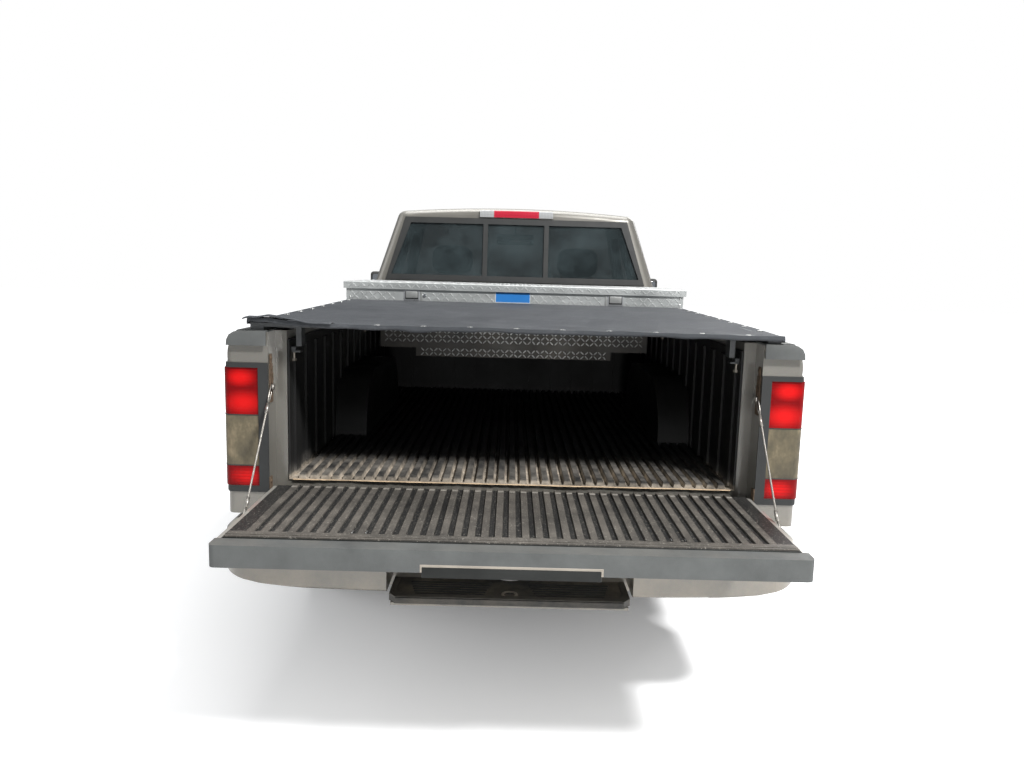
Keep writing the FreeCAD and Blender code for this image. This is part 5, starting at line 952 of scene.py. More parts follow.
def tread_block(width, length, height):
    """One tread block with slanted walls and a sipe across it."""
    bm = bmesh.new()
    half_w, half_l, slope, sipe = width / 2, length / 2, 0.0012, 0.0006
    halves = ((-half_l, -sipe, slope, 0.0), (sipe, half_l, 0.0, slope))
    for y_low, y_high, in_low, in_high in halves:
        lower, upper = (
            [bm.verts.new((x, y, z)) for x, y in ((-a, b), (a, b), (a, c), (-a, c))]
            for a, b, c, z in ((half_w, y_low, y_high, 0.0),
                               (half_w - slope, y_low + in_low, y_high - in_high, height))
        )
        bm.faces.new(upper)
        bm.faces.new(list(reversed(lower)))
        skin(bm, (lower, upper))
    return bm


def build_tyre(node, body):
    """A road tyre in place of a plain one, with blocks cut by grooves and sipes."""
    low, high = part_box(node)
    centre = [(low[i] + high[i]) / 2 for i in range(3)]
    casing = turned(tyre_profile(), 96, "X", centre, hoop=True)
    piece("%s_casing" % node, casing, "tyre", body, replaced=(node,))
    pitch = 2 * math.pi * TYRE_RADIUS / BLOCKS
    middle = ((0.0, 0.0, 0.0), (0.034, 0.5, 0.12), (-0.034, 0.5, -0.12))
    outside = ((0.071, 0.25, 0.0), (-0.071, 0.75, 0.0))
    for name, rows, block in (("tread", middle, (0.026, pitch * 0.82, 0.0095)),
                              ("shoulders", outside, (0.032, pitch * 0.74, 0.0090))):
        scattered("%s_%s" % (node, name), tread_places(centre, rows), tread_block(*block), "tyre",
                  body, smooth=False)


def build_tyres():
    for end in ENDS:
        for side_name, _ in SIDES:
            build_tyre("tyre_%s_%s" % (end, side_name), "wheel_%s_%s" % (end, side_name))


def build_wheel_trim():
    """Wheel nuts, a centre cap and a valve for each wheel."""
    nut = turned(((-0.012, 0.0088), (0.004, 0.0088), (0.009, 0.0070), (0.012, 0.0)), 6, "X")
    cap_profile = ((0.046, 0.031), (0.058, 0.030), (0.064, 0.024), (0.0665, 0.0))
    circle = 0.057
    for end in ENDS:
        for side_name, side in SIDES:
            wheel = "%s_%s" % (end, side_name)
            body = "wheel_" + wheel
            low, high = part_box("rim_" + wheel)
            y, z = (low.y + high.y) / 2, (low.z + high.z) / 2
            hub = side * HUB_X
            places = []
            for angle in (math.radians(60 * step) for step in range(6)):
                spot = Vector((hub + side * 0.052, y + circle * math.cos(angle),
                               z + circle * math.sin(angle)))
                places.append((spot, UNTURNED if side > 0 else HALF_TURN))
            scattered("nuts_" + wheel, places, nut.copy(), "chrome", body, smooth=False)
            cap = turned(cap_profile, 40, "X", (hub, y, z), side=side)
            piece("centre_cap_" + wheel, cap, "alloy", body)
            stem = tube_bm(((hub + side * 0.060, y + 0.02, z + 0.168),
                            (hub + side * 0.088, y + 0.02, z + 0.165)), 0.003)
            piece("valve_" + wheel, stem, "rubber", body)
    nut.free()


# Toolbox

LID_LOW, LID_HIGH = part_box("toolbox_lid")
TUB_LOW, TUB_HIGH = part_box("toolbox_tub")
RAIL_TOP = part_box("bed_rail_caps")[1].z
LATCH_X = (0.470, -0.459)
LATCH_Z = 1.1785
LOCK_X = 0.412
STICKER_PLACE = (0.0095, 1.1800)
FACING_TAIL = -math.pi / 2


def plate_mark():
    """One raised mark of tread plate: a long lozenge with a sloping rim."""
    bm = bmesh.new()
    lozenge = ((1, 0), (0.45, 0.85), (-0.45, 0.85), (-1, 0), (-0.45, -0.85), (0.45, -0.85))
    rings = [
        [bm.verts.new((half_length * a, half_width * b, height)) for a, b in lozenge]
        for half_length, half_width, height in ((0.0128, 0.0036, 0.0), (0.0102, 0.0021, 0.0014))
    ]
    skin(bm, rings)
    bm.faces.new(rings[1])
    return bm


def plate_places(u_range, v_range, pitch, y=None, z=None):
    """Places of marks, each turned across its neighbours, on a flat at z or upright at y."""
    places = []
    counts, starts = [], []
    for low, high in (u_range, v_range):
        counts.append(max(1, int((high - low) / pitch)))
        starts.append((low + high - (counts[-1] - 1) * pitch) / 2)
    for i in range(counts[0]):
        for j in range(counts[1]):
            angle = math.radians(45) * (1 if (i + j) % 2 else -1)
            u, v = starts[0] + i * pitch, starts[1] + j * pitch
            if y is None:
                places.append((Vector((u, v, z)), (0.0, 0.0, angle)))
            else:
                places.append((Vector((u, y, v)), (FACING_TAIL, angle, 0.0)))
    return places


def clear_of(places, boxes):
    """Only the places that lie outside the (low x, high x, low z, high z) boxes."""
    return [
        (point, turn) for point, turn in places
        if not any(a < point.x < b and c < point.z < d for a, b, c, d in boxes)
    ]


def build_plate_marks(pitch):
    """Raised marks on the toolbox's lid, its flange, its tail face and its tub."""
    edge = 0.010
    face = TUB_HIGH.y
    across = (LID_LOW.x + edge, LID_HIGH.x - edge)
    top = plate_places(across, (LID_LOW.y + edge, LID_HIGH.y - edge), pitch, z=LID_HIGH.z)
    flange = plate_places(across, (LID_HIGH.z - 0.028, LID_HIGH.z - 0.004), pitch, y=LID_HIGH.y)
    holes = [(x - 0.050, x + 0.064, 1.10, 1.30) for x in LATCH_X] + [(-0.080, 0.099, 1.10, 1.30)]
    tub = clear_of(plate_places((TUB_LOW.x + edge, TUB_HIGH.x - edge),
                                (RAIL_TOP + edge, LID_HIGH.z - 0.034), pitch, y=face), holes)
    tub += plate_places((-0.60, 0.60), (0.955, RAIL_TOP), pitch, y=face - 0.006)
    tub += plate_places((-0.44, 0.44), (0.900, 0.942), pitch, y=face - 0.020)
    for name, places, body in (("lid_marks", top, "toolbox_lid"),
                               ("lid_flange_marks", flange, "toolbox_lid"),
                               ("tub_marks", tub, "truck")):
        scattered(name, places, plate_mark(), "tread_plate", body, smooth=False)


def on_tub(x, z):
    """A function that sets outline points on the toolbox's tail face."""
    return lambda u, v, depth: Vector((x + u, TUB_HIGH.y + depth, z + v))


def build_latches():
    """Two pressed paddle latches, the lock beside one of them, and the bare sticker."""
    plates, dishes, paddles = None, None, None
    for x in LATCH_X:
        middle, raised = on_tub(x, LATCH_Z), on_tub(x, LATCH_Z + 0.0028)
        beside = on_tub(x + math.copysign(0.044, -x), LATCH_Z)
        plates = panel_bm(0.036, 0.0235, 0.004, 0.0016, middle, 0.0006, plates)
        dishes = panel_bm(0.030, 0.0185, 0.003, 0.0019, middle, 0.0, dishes)
        paddles = panel_bm(0.027, 0.0150, 0.003, 0.0045, raised, 0.0014, paddles)
        paddles = panel_bm(0.0045, 0.0220, 0.001, 0.0020, beside, 0.0005, paddles)
    face = TUB_HIGH.y
    lock = turned(((0.0, 0.0088), (0.0030, 0.0086), (0.0042, 0.0070), (0.0043, 0.0)), 24, "Y",
                  (LOCK_X, face, LATCH_Z))
    slit = box_bm((LOCK_X - 0.0008, face + 0.004, LATCH_Z - 0.004),
                  (LOCK_X + 0.0008, face + 0.0046, LATCH_Z + 0.004))
    sticker = panel_bm(0.0775, 0.0225, 0.0015, 0.0003, on_tub(*STICKER_PLACE))
    edging = panel_bm(0.0790, 0.0235, 0.0015, 0.0002, on_tub(*STICKER_PLACE))
    for name, bm, finish, slot in (
        ("latch_plates", plates, "alloy", "alloy"),
        ("latch_dishes", dishes, "black_plastic", "black_plastic"),
        ("latch_paddles", paddles, "worn_alloy", "alloy"),
        ("toolbox_lock", lock, "chrome", "steel"),
        ("toolbox_keyhole", slit, "black_plastic", "black_plastic"),
        ("bare_sticker", sticker, "blue", "paint"),
        ("sticker_edge", edging, "off_white", "paint"),
    ):
        piece(name, bm, finish)


def build_toolbox_trim():
    """Rivets along the wings' hold-down strips."""
    rivet = turned(((0.0, 0.0048), (0.0014, 0.0043), (0.0024, 0.0024), (0.0027, 0.0)), 12, "Y")
    places = [(Vector((x, TUB_HIGH.y, z)), UNTURNED)
              for x in (-0.752, 0.752) for z in (1.135, 1.165, 1.195)]
    scattered("toolbox_rivets", places, rivet, "zinc")


# Lamps


def build_lamp_seams():
    """Dark seams between a tail lamp's chambers, following the lens round the corner."""
    half_seam, proud = 0.0016, 0.0006
    for index, height in enumerate(LENS_BREAKS):
        bm = bmesh.new()
        bm.from_mesh(frame["nodes"]["tail_lamps"].data)
        bmesh.ops.remove_doubles(bm, verts=bm.verts, dist=1e-5)
        for sign in (-1, 1):
            bmesh.ops.bisect_plane(
                bm, geom=bm.verts[:] + bm.edges[:] + bm.faces[:],
                plane_co=(0, 0, height + sign * half_seam), plane_no=(0, 0, sign), clear_outer=True,
            )
        for vertex in bm.verts:
            vertex.co += vertex.normal * proud
        rims = [edge for edge in bm.edges if edge.is_boundary]
        bmesh.ops.holes_fill(bm, edges=rims, sides=0)
        piece("lamp_seam_%d" % index, bm, "black_plastic", smooth=False)


# Open tailgate and its stays

GATE_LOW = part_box("tailgate")[0]
CAP_LOW, CAP_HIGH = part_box("tailgate_cap")
GATE_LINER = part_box("tailgate_liner")[1]
BAR_HALF = 0.2065
CABLE_TOP = Vector((0.700, TAIL_Y - 0.030, 0.950))
CABLE_FOOT = Vector((0.702, TAIL_Y + 0.225, 0.640))
CABLE_RUN = (CABLE_FOOT - CABLE_TOP).normalized()
CABLE_START = CABLE_TOP + CABLE_RUN * 0.052
CABLE_END = CABLE_FOOT - CABLE_RUN * 0.030
STRAND = 0.0017
LAY = 0.0014
LAY_TURNS = 16
LAY_STEPS = 120
ACROSS = Vector((1.0, 0.0, 0.0))
STUD = ((-0.0075, 0.0), (-0.0075, 0.0085), (-0.0045, 0.0095), (-0.003, 0.0095), (-0.003, 0.0048),
        (0.004, 0.0048), (0.004, 0.0))
JAMB_X = 0.7045
JAMB_PLATE = 0.0035


def on_side_of(side, point):
    """A left side's point, or its mirror image for side -1."""
    return (side * point.x, point.y, point.z)


def strand_points(side, phase):
    """The path of one strand laid round a stay's line."""
    over = CABLE_RUN.cross(ACROSS).normalized()
    third = CABLE_RUN.cross(over)
    points = []
    for share in (step / LAY_STEPS for step in range(LAY_STEPS + 1)):
        angle = phase + 2 * math.pi * LAY_TURNS * share
        centre = CABLE_START + (CABLE_END - CABLE_START) * share
        point = centre + LAY * (over * math.cos(angle) + third * math.sin(angle))
        points.append(on_side_of(side, point))
    return points


def eye_points(side, stud, other):
    """The long ring of an eye, round its stud and up to its sleeve."""
    away = (other - stud).normalized()
    over = away.cross(ACROSS)
    reach = (other - stud).length / 2 + 0.003
    points = []
    for angle in (2 * math.pi * step / 20 for step in range(20)):
        point = stud + away * (reach - 0.008) + reach * math.cos(angle) * away
        point += 0.0085 * math.sin(angle) * over + ACROSS * 0.0005
        points.append(on_side_of(side, point))
    return points


def build_cables():
    """The two tailgate stays: laid steel strands, crimped sleeves and eyes on their studs."""
    sleeves = ((CABLE_START, CABLE_START + CABLE_RUN * 0.034),
               (CABLE_END - CABLE_RUN * 0.030, CABLE_END))
    for side_name, side in SIDES:
        bm = None
        for strand in range(3):
            bm = tube_bm(strand_points(side, 2 * math.pi * strand / 3), STRAND, 6, bm)
        for sleeve in sleeves:
            bm = tube_bm([on_side_of(side, point) for point in sleeve], 0.0048, 12, bm)
        for stud, other in ((CABLE_TOP, CABLE_START), (CABLE_FOOT, CABLE_END)):
            bm = tube_bm(eye_points(side, stud, other), 0.0022, 8, bm, closed=True)
        for stud in (CABLE_TOP, CABLE_FOOT):
            bm = turned(STUD, 16, "X", on_side_of(side, stud), bm, side=side)
        stay = piece(
            "tailgate_stay_%s" % side_name, bm, "cable", body=None, smooth=False,
            replaced=("tailgate_cables",) if side > 0 else (),
        )
        stay.data.shade_smooth()
        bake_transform(stay)


def build_jamb_hardware():
    """Rusty striker plates and loops, hinge cups and bolts on the two jambs."""
    plates, loops, cups = None, None, None
    bolts = []
    y = TAIL_Y - 0.034
    loop_path = ((-0.009, 0.990), (-0.010, 0.972), (-0.004, 0.962),
                 (0.004, 0.962), (0.010, 0.972), (0.009, 0.990))
    inner = JAMB_X - JAMB_PLATE
    for _, side in SIDES:
        plates = side_box_bm(side, (inner, y - 0.015, 0.905), (JAMB_X, y + 0.015, 1.018),
                             0.0015, 1, plates)
        plates = side_box_bm(side, (inner, y - 0.009, 1.018), (JAMB_X, y + 0.011, 1.046),
                             0.0015, 1, plates)
        cups = side_box_bm(side, (inner, TAIL_Y - 0.030, 0.655), (JAMB_X, TAIL_Y - 0.006, 0.690),
                           0.0015, 1, cups)
        loop = [(side * (inner - 0.0012), y + back, z) for back, z in loop_path]
        loops = tube_bm(loop, 0.0013, 8, loops)
        turn = UNTURNED if side < 0 else HALF_TURN
        for bolt_y, z in ((y + 0.002, 1.034), (y + 0.002, 1.004), (y + 0.002, 0.922),
                          (TAIL_Y - 0.018, 0.676)):
            bolts.append((Vector((side * inner, bolt_y, z)), turn))
    for name, bm in (("striker_plates", plates), ("striker_loops", loops), ("hinge_cups", cups)):
        piece(name, bm, "rust")
    head = turned(((-0.001, 0.0070), (0.0014, 0.0070), (0.0024, 0.0052), (0.0024, 0.0)), 6, "X")
    scattered("jamb_bolts", bolts, head, "rust", smooth=False)


def build_rail_cap_ends():
    """The rail caps' dark ends, turned down over the bed sides' tail faces."""
    inside, low, high = 0.7055, 1.0715, RAIL_TOP - 0.0015
    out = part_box("bed_rail_caps")[1].x
    outline = (
        (inside, low), (out - 0.0015, low), (out - 0.003, low + 0.016), (out - 0.010, low + 0.030),
        (out - 0.024, high - 0.003), (out - 0.036, high), (inside, high),
    )

    def lift(u, v, depth):
        return Vector((u, TAIL_Y - 0.0002 + depth, v))

    ends = None
    for _, side in SIDES:
        ends = outline_bm([(side * x, z) for x, z in outline], 0.0030, lift, 0.0010, ends)
    piece("rail_cap_ends", ends, "cap_plastic")


def build_handle_bar():
    """The bar's dark insert in the tailgate cap, with the painted edge around it."""
    face, top, low = CAP_HIGH.y, 0.6285, GATE_LOW.z + 0.0015
    around = BAR_HALF + 0.0045
    edge = box_bm((-around, face - 0.001, 0.6095), (around, face + 0.0008, top), 0.0008, 1)
    piece("handle_bar_edge", edge, "shaded_edge", "tailgate")
    insert = box_bm((-BAR_HALF, face - 0.003, low), (BAR_HALF, face + 0.0022, top - 0.0055), 0.0022)
    piece("handle_bar_insert", insert, "bar_plastic", "tailgate")


def build_gate_liner_trim():
    """The tailgate liner's end band and bead, its clips and the heads of its ribs."""
    half, end, top = GATE_LINER
    band = None
    for y_from, y_to, rise in ((-0.034, -0.019, 0.0010), (-0.0165, -0.009, 0.0016),
                               (-0.0065, 0.0012, 0.0008)):
        band = box_bm((-half + 0.006, end + y_from, top - 0.006),
                      (half - 0.006, end + y_to, top + rise), 0.0009, 2, band)
    piece("liner_end_band", band, "gate_liner", "tailgate")
    bead = box_bm((-half + 0.004, end - 0.0015, top - 0.009),
                  (half - 0.004, CAP_LOW.y + 0.0004, top - 0.0035), 0.0006, 1)
    piece("liner_end_bead", bead, "bar_plastic", "tailgate")
    clip = box_bm((-0.0052, -0.010, 0.0), (0.0052, 0.010, 0.0030), 0.0014)
    spots = ((0.390, 0.056), (0.356, 0.059), (0.094, 0.128), (0.061, 0.130),
             (-0.071, 0.125), (-0.096, 0.127), (-0.390, 0.060), (-0.424, 0.062))
    places = [(Vector((x, end - back, top - 0.0052)), UNTURNED) for x, back in spots]
    scattered("liner_clips", places, clip, "zinc", "tailgate")
    head = box_bm((-0.0085, -0.006, 0.0), (0.0085, 0.006, 0.0022), 0.0010, 1)
    pitch = 0.033
    count = int((half - 0.03) / pitch)
    places = [(Vector((index * pitch, TAIL_Y + 0.008, top - 0.0008)), UNTURNED)
              for index in range(-count, count + 1)]
    scattered("rib_heads", places, head, "rib_head", "tailgate")


def build_gate_outside():
    """The outer face's pull handle and its bezel, seen from below or with the gate shut."""
    low, middle = GATE_LOW.z, CAP_HIGH.y - 0.069

    def under(u, v, depth):
        return Vector((u, middle + v, 0.6040 - depth))

    bezel = panel_bm(0.118, 0.046, 0.010, 0.0035, under, 0.0012)
    piece("gate_handle_bezel", bezel, "cap_plastic", "tailgate")
    paddle = box_bm((-0.056, middle - 0.016, low - 0.0015), (0.056, middle + 0.020, low + 0.006),
                    0.003, 3)
    piece("gate_handle_paddle", paddle, "cap_plastic", "tailgate")


# Bumper

STEP_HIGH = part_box("bumper_step_pad")[1]
BALL_HOLE_Y = TAIL_Y + 0.110
LOW_RIM_Y = TAIL_Y + 0.0135


def build_step_lip():
    """The raised lip round the step's edge."""
    half, front, top = STEP_HIGH
    corner, width = 0.024, 0.019
    start, cut = TAIL_Y + 0.014, half - corner * 0.83
    outer = [(-half, start), (-half, front - corner), (-cut, front),
             (cut, front), (half, front - corner), (half, start)]
    inner = [(x * (1 - 0.020 / half), y - width * (y > front - 0.03)) for x, y in outer]
    bm = bmesh.new()
    rings = [
        [bm.verts.new((x, y, top + height)) for x, y in points]
        for points, height in ((outer, -0.004), (outer, 0.0016), (inner, 0.0034), (inner, 0.0004))
    ]
    sheet_faces(bm, rings + rings[:1])
    for index in (0, -1):
        bm.faces.new([ring[index] for ring in rings])
    lip = piece("step_lip", bm, "step_lip")
    finished(lip, "BEVEL", width=0.0012, segments=2)


def build_step_trim():
    """The step's tread ridges, its ball hole's ring, a dimple and the low plate's rim."""
    top = STEP_HIGH.z
    ridges = None
    for _, side in SIDES:
        for index in range(6):
            y, taper = TAIL_Y + 0.034 + index * 0.0165, 0.004 * index
            low, high = sorted((side * 0.052, side * 0.285))
            ridges = box_bm((low + taper, y - 0.0028, top - 0.001),
                            (high - taper, y + 0.0028, top + 0.0022), 0.0010, 1, ridges)
    piece("step_ridges", ridges, "rubber")
    ring = turned(((0.0, 0.0235), (0.0018, 0.0228), (0.0024, 0.0205), (0.0018, 0.0165),
                   (0.0, 0.0155)), 40, "Z", (0.0, BALL_HOLE_Y, top), hoop=True)
    piece("ball_hole_ring", ring, "worn_steel")
    dimple = turned(((0.0, 0.0130), (0.0010, 0.0125), (0.0012, 0.0095), (0.0004, 0.0080),
                     (0.0004, 0.0)), 28, "Z", (-0.066, BALL_HOLE_Y + 0.016, top))
    piece("step_dimple", dimple, "rubber")
    arc = [(0.047 * u, LOW_RIM_Y, top + 0.0125 - 0.0085 * (1 - u * u))
           for u in (i / 8 for i in range(-8, 9))]
    rim = tube_bm(arc, 0.0023)
    for _, side in SIDES:
        bump = [(side * (0.108 + 0.006 * i), LOW_RIM_Y, top + 0.010 + 0.0035 * math.sin(i * 1.1))
                for i in range(7)]
        rim = tube_bm(bump, 0.0018, 8, rim)
    piece("low_rim", rim, "off_white")


def build_bumper_slots():
    """Dark oval slots in the bumper beside its step."""
    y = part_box("rear_bumper")[1].y - 0.0215
    slots = None
    for x in (0.405, -0.405):
        slots = panel_bm(0.019, 0.0065, 0.0060, 0.0030,
                         lambda u, v, d: Vector((x + u, y + d, 0.480 + v)), 0.0, slots)
    piece("bumper_slots", slots, "black_plastic")


# Bed

BED_LINER_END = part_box("bed_liner")[1].y
SAND_Z = 0.6652
CLAMP_X = 0.659


def build_sand_line():
    """Sand in the gap behind the bed's liner."""
    bm = bmesh.new()
    rows = []
    count = 160
    back = BED_LINER_END + 0.0005
    for x in (-0.655 + 1.31 * index / count for index in range(count + 1)):
        amount = uneven(x * 9.0, 3.0, 1.0) + 0.5 * uneven(x * 60.0, 1.0, 1.0)
        spread = min(max(0.0030 + 0.0040 * amount, 0.0012), 0.0048)
        rows.append([bm.verts.new((x, back + spread * out, SAND_Z + rise)) for out, rise in (
            (0.0, 0.0), (0.0, 0.0022), (0.6, 0.0012), (1.0, 0.0))])
    skin(bm, rows)
    bm.faces.new(rows[0])
    bm.faces.new(rows[-1])
    piece("sand_line", bm, "sand")


def build_rail_clamps():
    """The cover rails' clamps and their screws, under the bed rails."""
    clamps, screws = None, None
    for _, side in SIDES:
        for y in (COVER_FRONT + 0.120, TAIL_Y - 0.120):
            clamps = side_box_bm(side, (0.650, y - 0.018, 1.050), (0.668, y + 0.018, 1.062),
                                 0.0015, 1, clamps)
            clamps = side_box_bm(side, (0.6365, y - 0.014, 1.0435), (0.6695, y + 0.014, 1.0505),
                                 0.0015, 1, clamps)
            x = side * CLAMP_X
            screws = tube_bm(((x, y, 1.024), (x, y, 1.048)), 0.0042, 10, screws)
            screws = turned(((1.018, 0.0), (1.018, 0.0085), (1.0245, 0.0085), (1.0245, 0.0)), 6,
                            "Z", (x, y, 0.0), screws)
    piece("rail_clamps", clamps, "dull_alloy")
    piece("clamp_screws", screws, "worn_steel")


# Outside trim

BELT_Z = 0.830
WALL_HALF = 0.845
HANDLE_Y = -0.452
FUEL_DOOR = (0.520, 0.905)
STRIP_Z = 0.612
DOOR_RUN, CAB_RUN, BED_RUN = (-1.395, -0.366), (-0.333, 0.200), (0.262, 0.672)
ARCH_RADIUS = 0.4290
MIRROR_PLACE = (-1.0850, 1.1955)


def wall_x(z):
    """Half the body's width at a height below the belt."""
    if z < BELT_Z:
        return WALL_HALF - 0.045 * ((BELT_Z - z) / 0.470) ** 2
    return WALL_HALF - 0.029 * ((z - BELT_Z) / 0.220) ** 2


def on_side(side, y, z):
    """A function that sets outline points (along, up) on the body's side."""
    return lambda u, v, depth: Vector((side * (wall_x(z + v) + depth), y + u, z + v))


def build_handles():
    """Door handles with their recesses and locks, and the fuel door."""
    lock_profile = ((-0.004, 0.0095), (0.0015, 0.0095), (0.0030, 0.0075), (0.0030, 0.0))
    for side_name, side in SIDES:
        body = "door_" + side_name
        cup = panel_bm(0.072, 0.030, 0.010, 0.0022, on_side(side, HANDLE_Y, 0.965), 0.0008)
        piece("handle_cup_" + side_name, cup, "black_plastic", body)
        grip = panel_bm(0.060, 0.0125, 0.0060, 0.0150, on_side(side, HANDLE_Y, 0.971), 0.0040)
        piece("handle_grip_" + side_name, grip, "black_plastic", body)
        place = (side * (wall_x(0.928) + 0.0012), HANDLE_Y + 0.048, 0.921)
        lock = turned(lock_profile, 24, "X", place, side=side)
        piece("door_lock_" + side_name, lock, "chrome", body)
    flap = panel_bm(0.082, 0.078, 0.014, 0.0014, on_side(1, *FUEL_DOOR), 0.0006)
    piece("fuel_door", flap, "paint")
    gap = panel_bm(0.0855, 0.0815, 0.016, 0.0006, on_side(1, *FUEL_DOOR))
    piece("fuel_door_gap", gap, "black_plastic")


def build_side_mouldings():
    """Rub strips along the doors, the extended cab and the bed sides."""
    index = 0
    for run in (DOOR_RUN, CAB_RUN, BED_RUN):
        for side_name, side in SIDES:
            body = "door_" + side_name if run == DOOR_RUN else "truck"
            middle = on_side(side, sum(run) / 2, STRIP_Z)
            strip = panel_bm((run[1] - run[0]) / 2, 0.024, 0.008, 0.0065, middle, 0.0030)
            piece("rub_strip_%d" % index, strip, "cap_plastic", body)
            index += 1


def build_arch_lips():
    """Rolled lips round the wheel openings."""
    steps = 40
    for end, low_z, inset in (("front", 0.400, 0.0035), ("rear", 0.530, 0.0045)):
        start = math.asin((low_z - TYRE_RADIUS) / ARCH_RADIUS)
        for side_name, side in SIDES:
            low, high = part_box("tyre_%s_%s" % (end, side_name))
            line = []
            for step in range(steps + 1):
                angle = start + (math.pi - 2 * start) * step / steps
                z = TYRE_RADIUS + ARCH_RADIUS * math.sin(angle)
                y = (low.y + high.y) / 2 + ARCH_RADIUS * math.cos(angle)
                line.append((side * (wall_x(z) - inset), y, z))
            piece("arch_lip_%s_%s" % (end, side_name), tube_bm(line, 0.0065), "paint")


def build_wipers():
    """Two wiper arms and blades that rest along the windshield's foot."""
    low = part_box("cab_glass")[0].y
    cap = ((-0.012, 0.0), (-0.012, 0.014), (0.006, 0.012), (0.010, 0.0))
    bm = None
    for x, reach in ((0.34, -0.55), (-0.22, -0.50)):
        pivot = (x, low - 0.020, 1.079)
        bend = (x + reach * 0.35, low + 0.048, 1.108)
        tip = (x + reach * 0.86, low + 0.040, 1.116)
        blade = [(x + reach * share, low + 0.045 - 0.012 * abs(share - 0.55), 1.112 + 0.004 * share)
                 for share in (0.12, 0.3, 0.5, 0.7, 0.9, 1.0)]
        bm = tube_bm((pivot, bend, tip), 0.0052, 8, bm)
        bm = turned(cap, 20, "Z", pivot, bm)
        bm = tube_bm(blade, 0.0042, 6, bm)
    piece("wipers", bm, "black_plastic")


def build_mirror_glass():
    """The mirrors' glass on the tail side of their heads."""
    y, z = MIRROR_PLACE
    for side_name, side in SIDES:
        x = side * (max(abs(corner.x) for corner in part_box("mirror_" + side_name)) - 0.0765)
        glass = panel_bm(0.060, 0.060, 0.014, 0.0015,
                         lambda u, v, d: Vector((x + u, y + d, z + v)), 0.0005)
        piece("mirror_glass_" + side_name, glass, "mirror", "door_" + side_name)


# Front

GRILLE_LOW, GRILLE_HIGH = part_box("grille")
GRILLE_HALF = 0.448
BOWL = ((0.030, 0.012), (0.018, 0.030), (-0.004, 0.046), (-0.018, 0.052))
FOG_BOWL = ((0.030, 0.0), (0.030, 0.020), (0.012, 0.036), (-0.012, 0.040), (-0.018, 0.034),
            (-0.020, 0.0))


def build_front_lamps():
    """Bowls and amber corners behind the headlamps' clear lenses, and the fog lamps."""
    bowls, ambers, fog = None, None, None
    for _, side in SIDES:
        for x in (0.545, 0.640):
            bowls = turned(BOWL, 32, "Y", (side * x, -2.500, 0.796), bowls)
        ambers = side_box_bm(side, (0.728, -2.470, 0.745), (0.790, -2.400, 0.848), 0.010, 3, ambers)
        fog = turned(FOG_BOWL, 36, "Y", (side * 0.520, -2.585, 0.460), fog)
    bmesh.ops.recalc_face_normals(bowls, faces=bowls.faces)
    piece("lamp_bowls", bowls, "bowl")
    piece("corner_lamps", ambers, "amber")
    piece("fog_lamps", fog, "bowl")


def build_grille_rims():
    """Bright rims along the grille's foot and head, bowed as it is."""
    rims = None
    for z, back in ((GRILLE_LOW.z + 0.006, 0.0), (GRILLE_HIGH.z - 0.006, 0.020)):
        line = []
        for x in (-GRILLE_HALF + 2 * GRILLE_HALF * step / 24 for step in range(25)):
            bow = 0.0362 * (x / GRILLE_HALF) ** 2
            line.append((x, GRILLE_LOW.y + 0.003 + bow + back, z))
        rims = tube_bm(line, 0.0055, 8, rims)
    piece("grille_rims", rims, "chrome")


# Cab interior

DASH_LOW_FACE = ((-1.130, 0.760), (-1.095, 0.900))
DASH_HIGH_FACE = ((-1.095, 0.900), (-1.120, 0.985))
DASH_SINK = 0.0005
DRIVER_X = 0.365
WHEEL_PLACE = (Matrix.Translation((DRIVER_X, -0.945, 0.985))
               @ Matrix.Rotation(math.radians(-62.0), 4, "X"))


def on_dash(face, x, share):
    """A function that sets outline points (across, up) on one of the dashboard's sloping faces."""
    low, high = (Vector((0.0, y, z)) for y, z in face)
    up = (high - low).normalized()
    out = Vector((0.0, up.z, -up.y))
    base = low.lerp(high, share) + Vector((x, 0.0, 0.0))
    return lambda u, v, depth: base + Vector((u, 0.0, 0.0)) + up * v + out * (depth - DASH_SINK)


def build_vents():
    """Four vents in the dashboard's upper face, with their slats."""
    rims, slats = None, None
    for x in (0.605, 0.075, -0.075, -0.605):
        rims = panel_bm(0.050, 0.026, 0.006, 0.0040, on_dash(DASH_HIGH_FACE, x, 0.50), 0.0012, rims)
        for row in (-0.015, -0.005, 0.005, 0.015):
            blade = on_dash(DASH_HIGH_FACE, x, 0.50 + row / 0.089)
            slats = panel_bm(0.044, 0.0016, 0.001, 0.0065, blade, 0.0, slats)
    piece("vent_rims", rims, "black_plastic")
    piece("vent_slats", slats, "rubber")


# Places across the dashboard: (x, radius) of a dial, and (x, share of the face, radius) of a knob
DIALS = ((0.310, 0.027), (0.420, 0.027), (0.365, 0.016), (0.472, 0.014), (0.258, 0.014))
KNOBS = ((-0.060, 0.36, 0.013), (0.0, 0.36, 0.013), (0.060, 0.36, 0.013), (-0.074, 0.78, 0.008),
         (0.074, 0.78, 0.008))


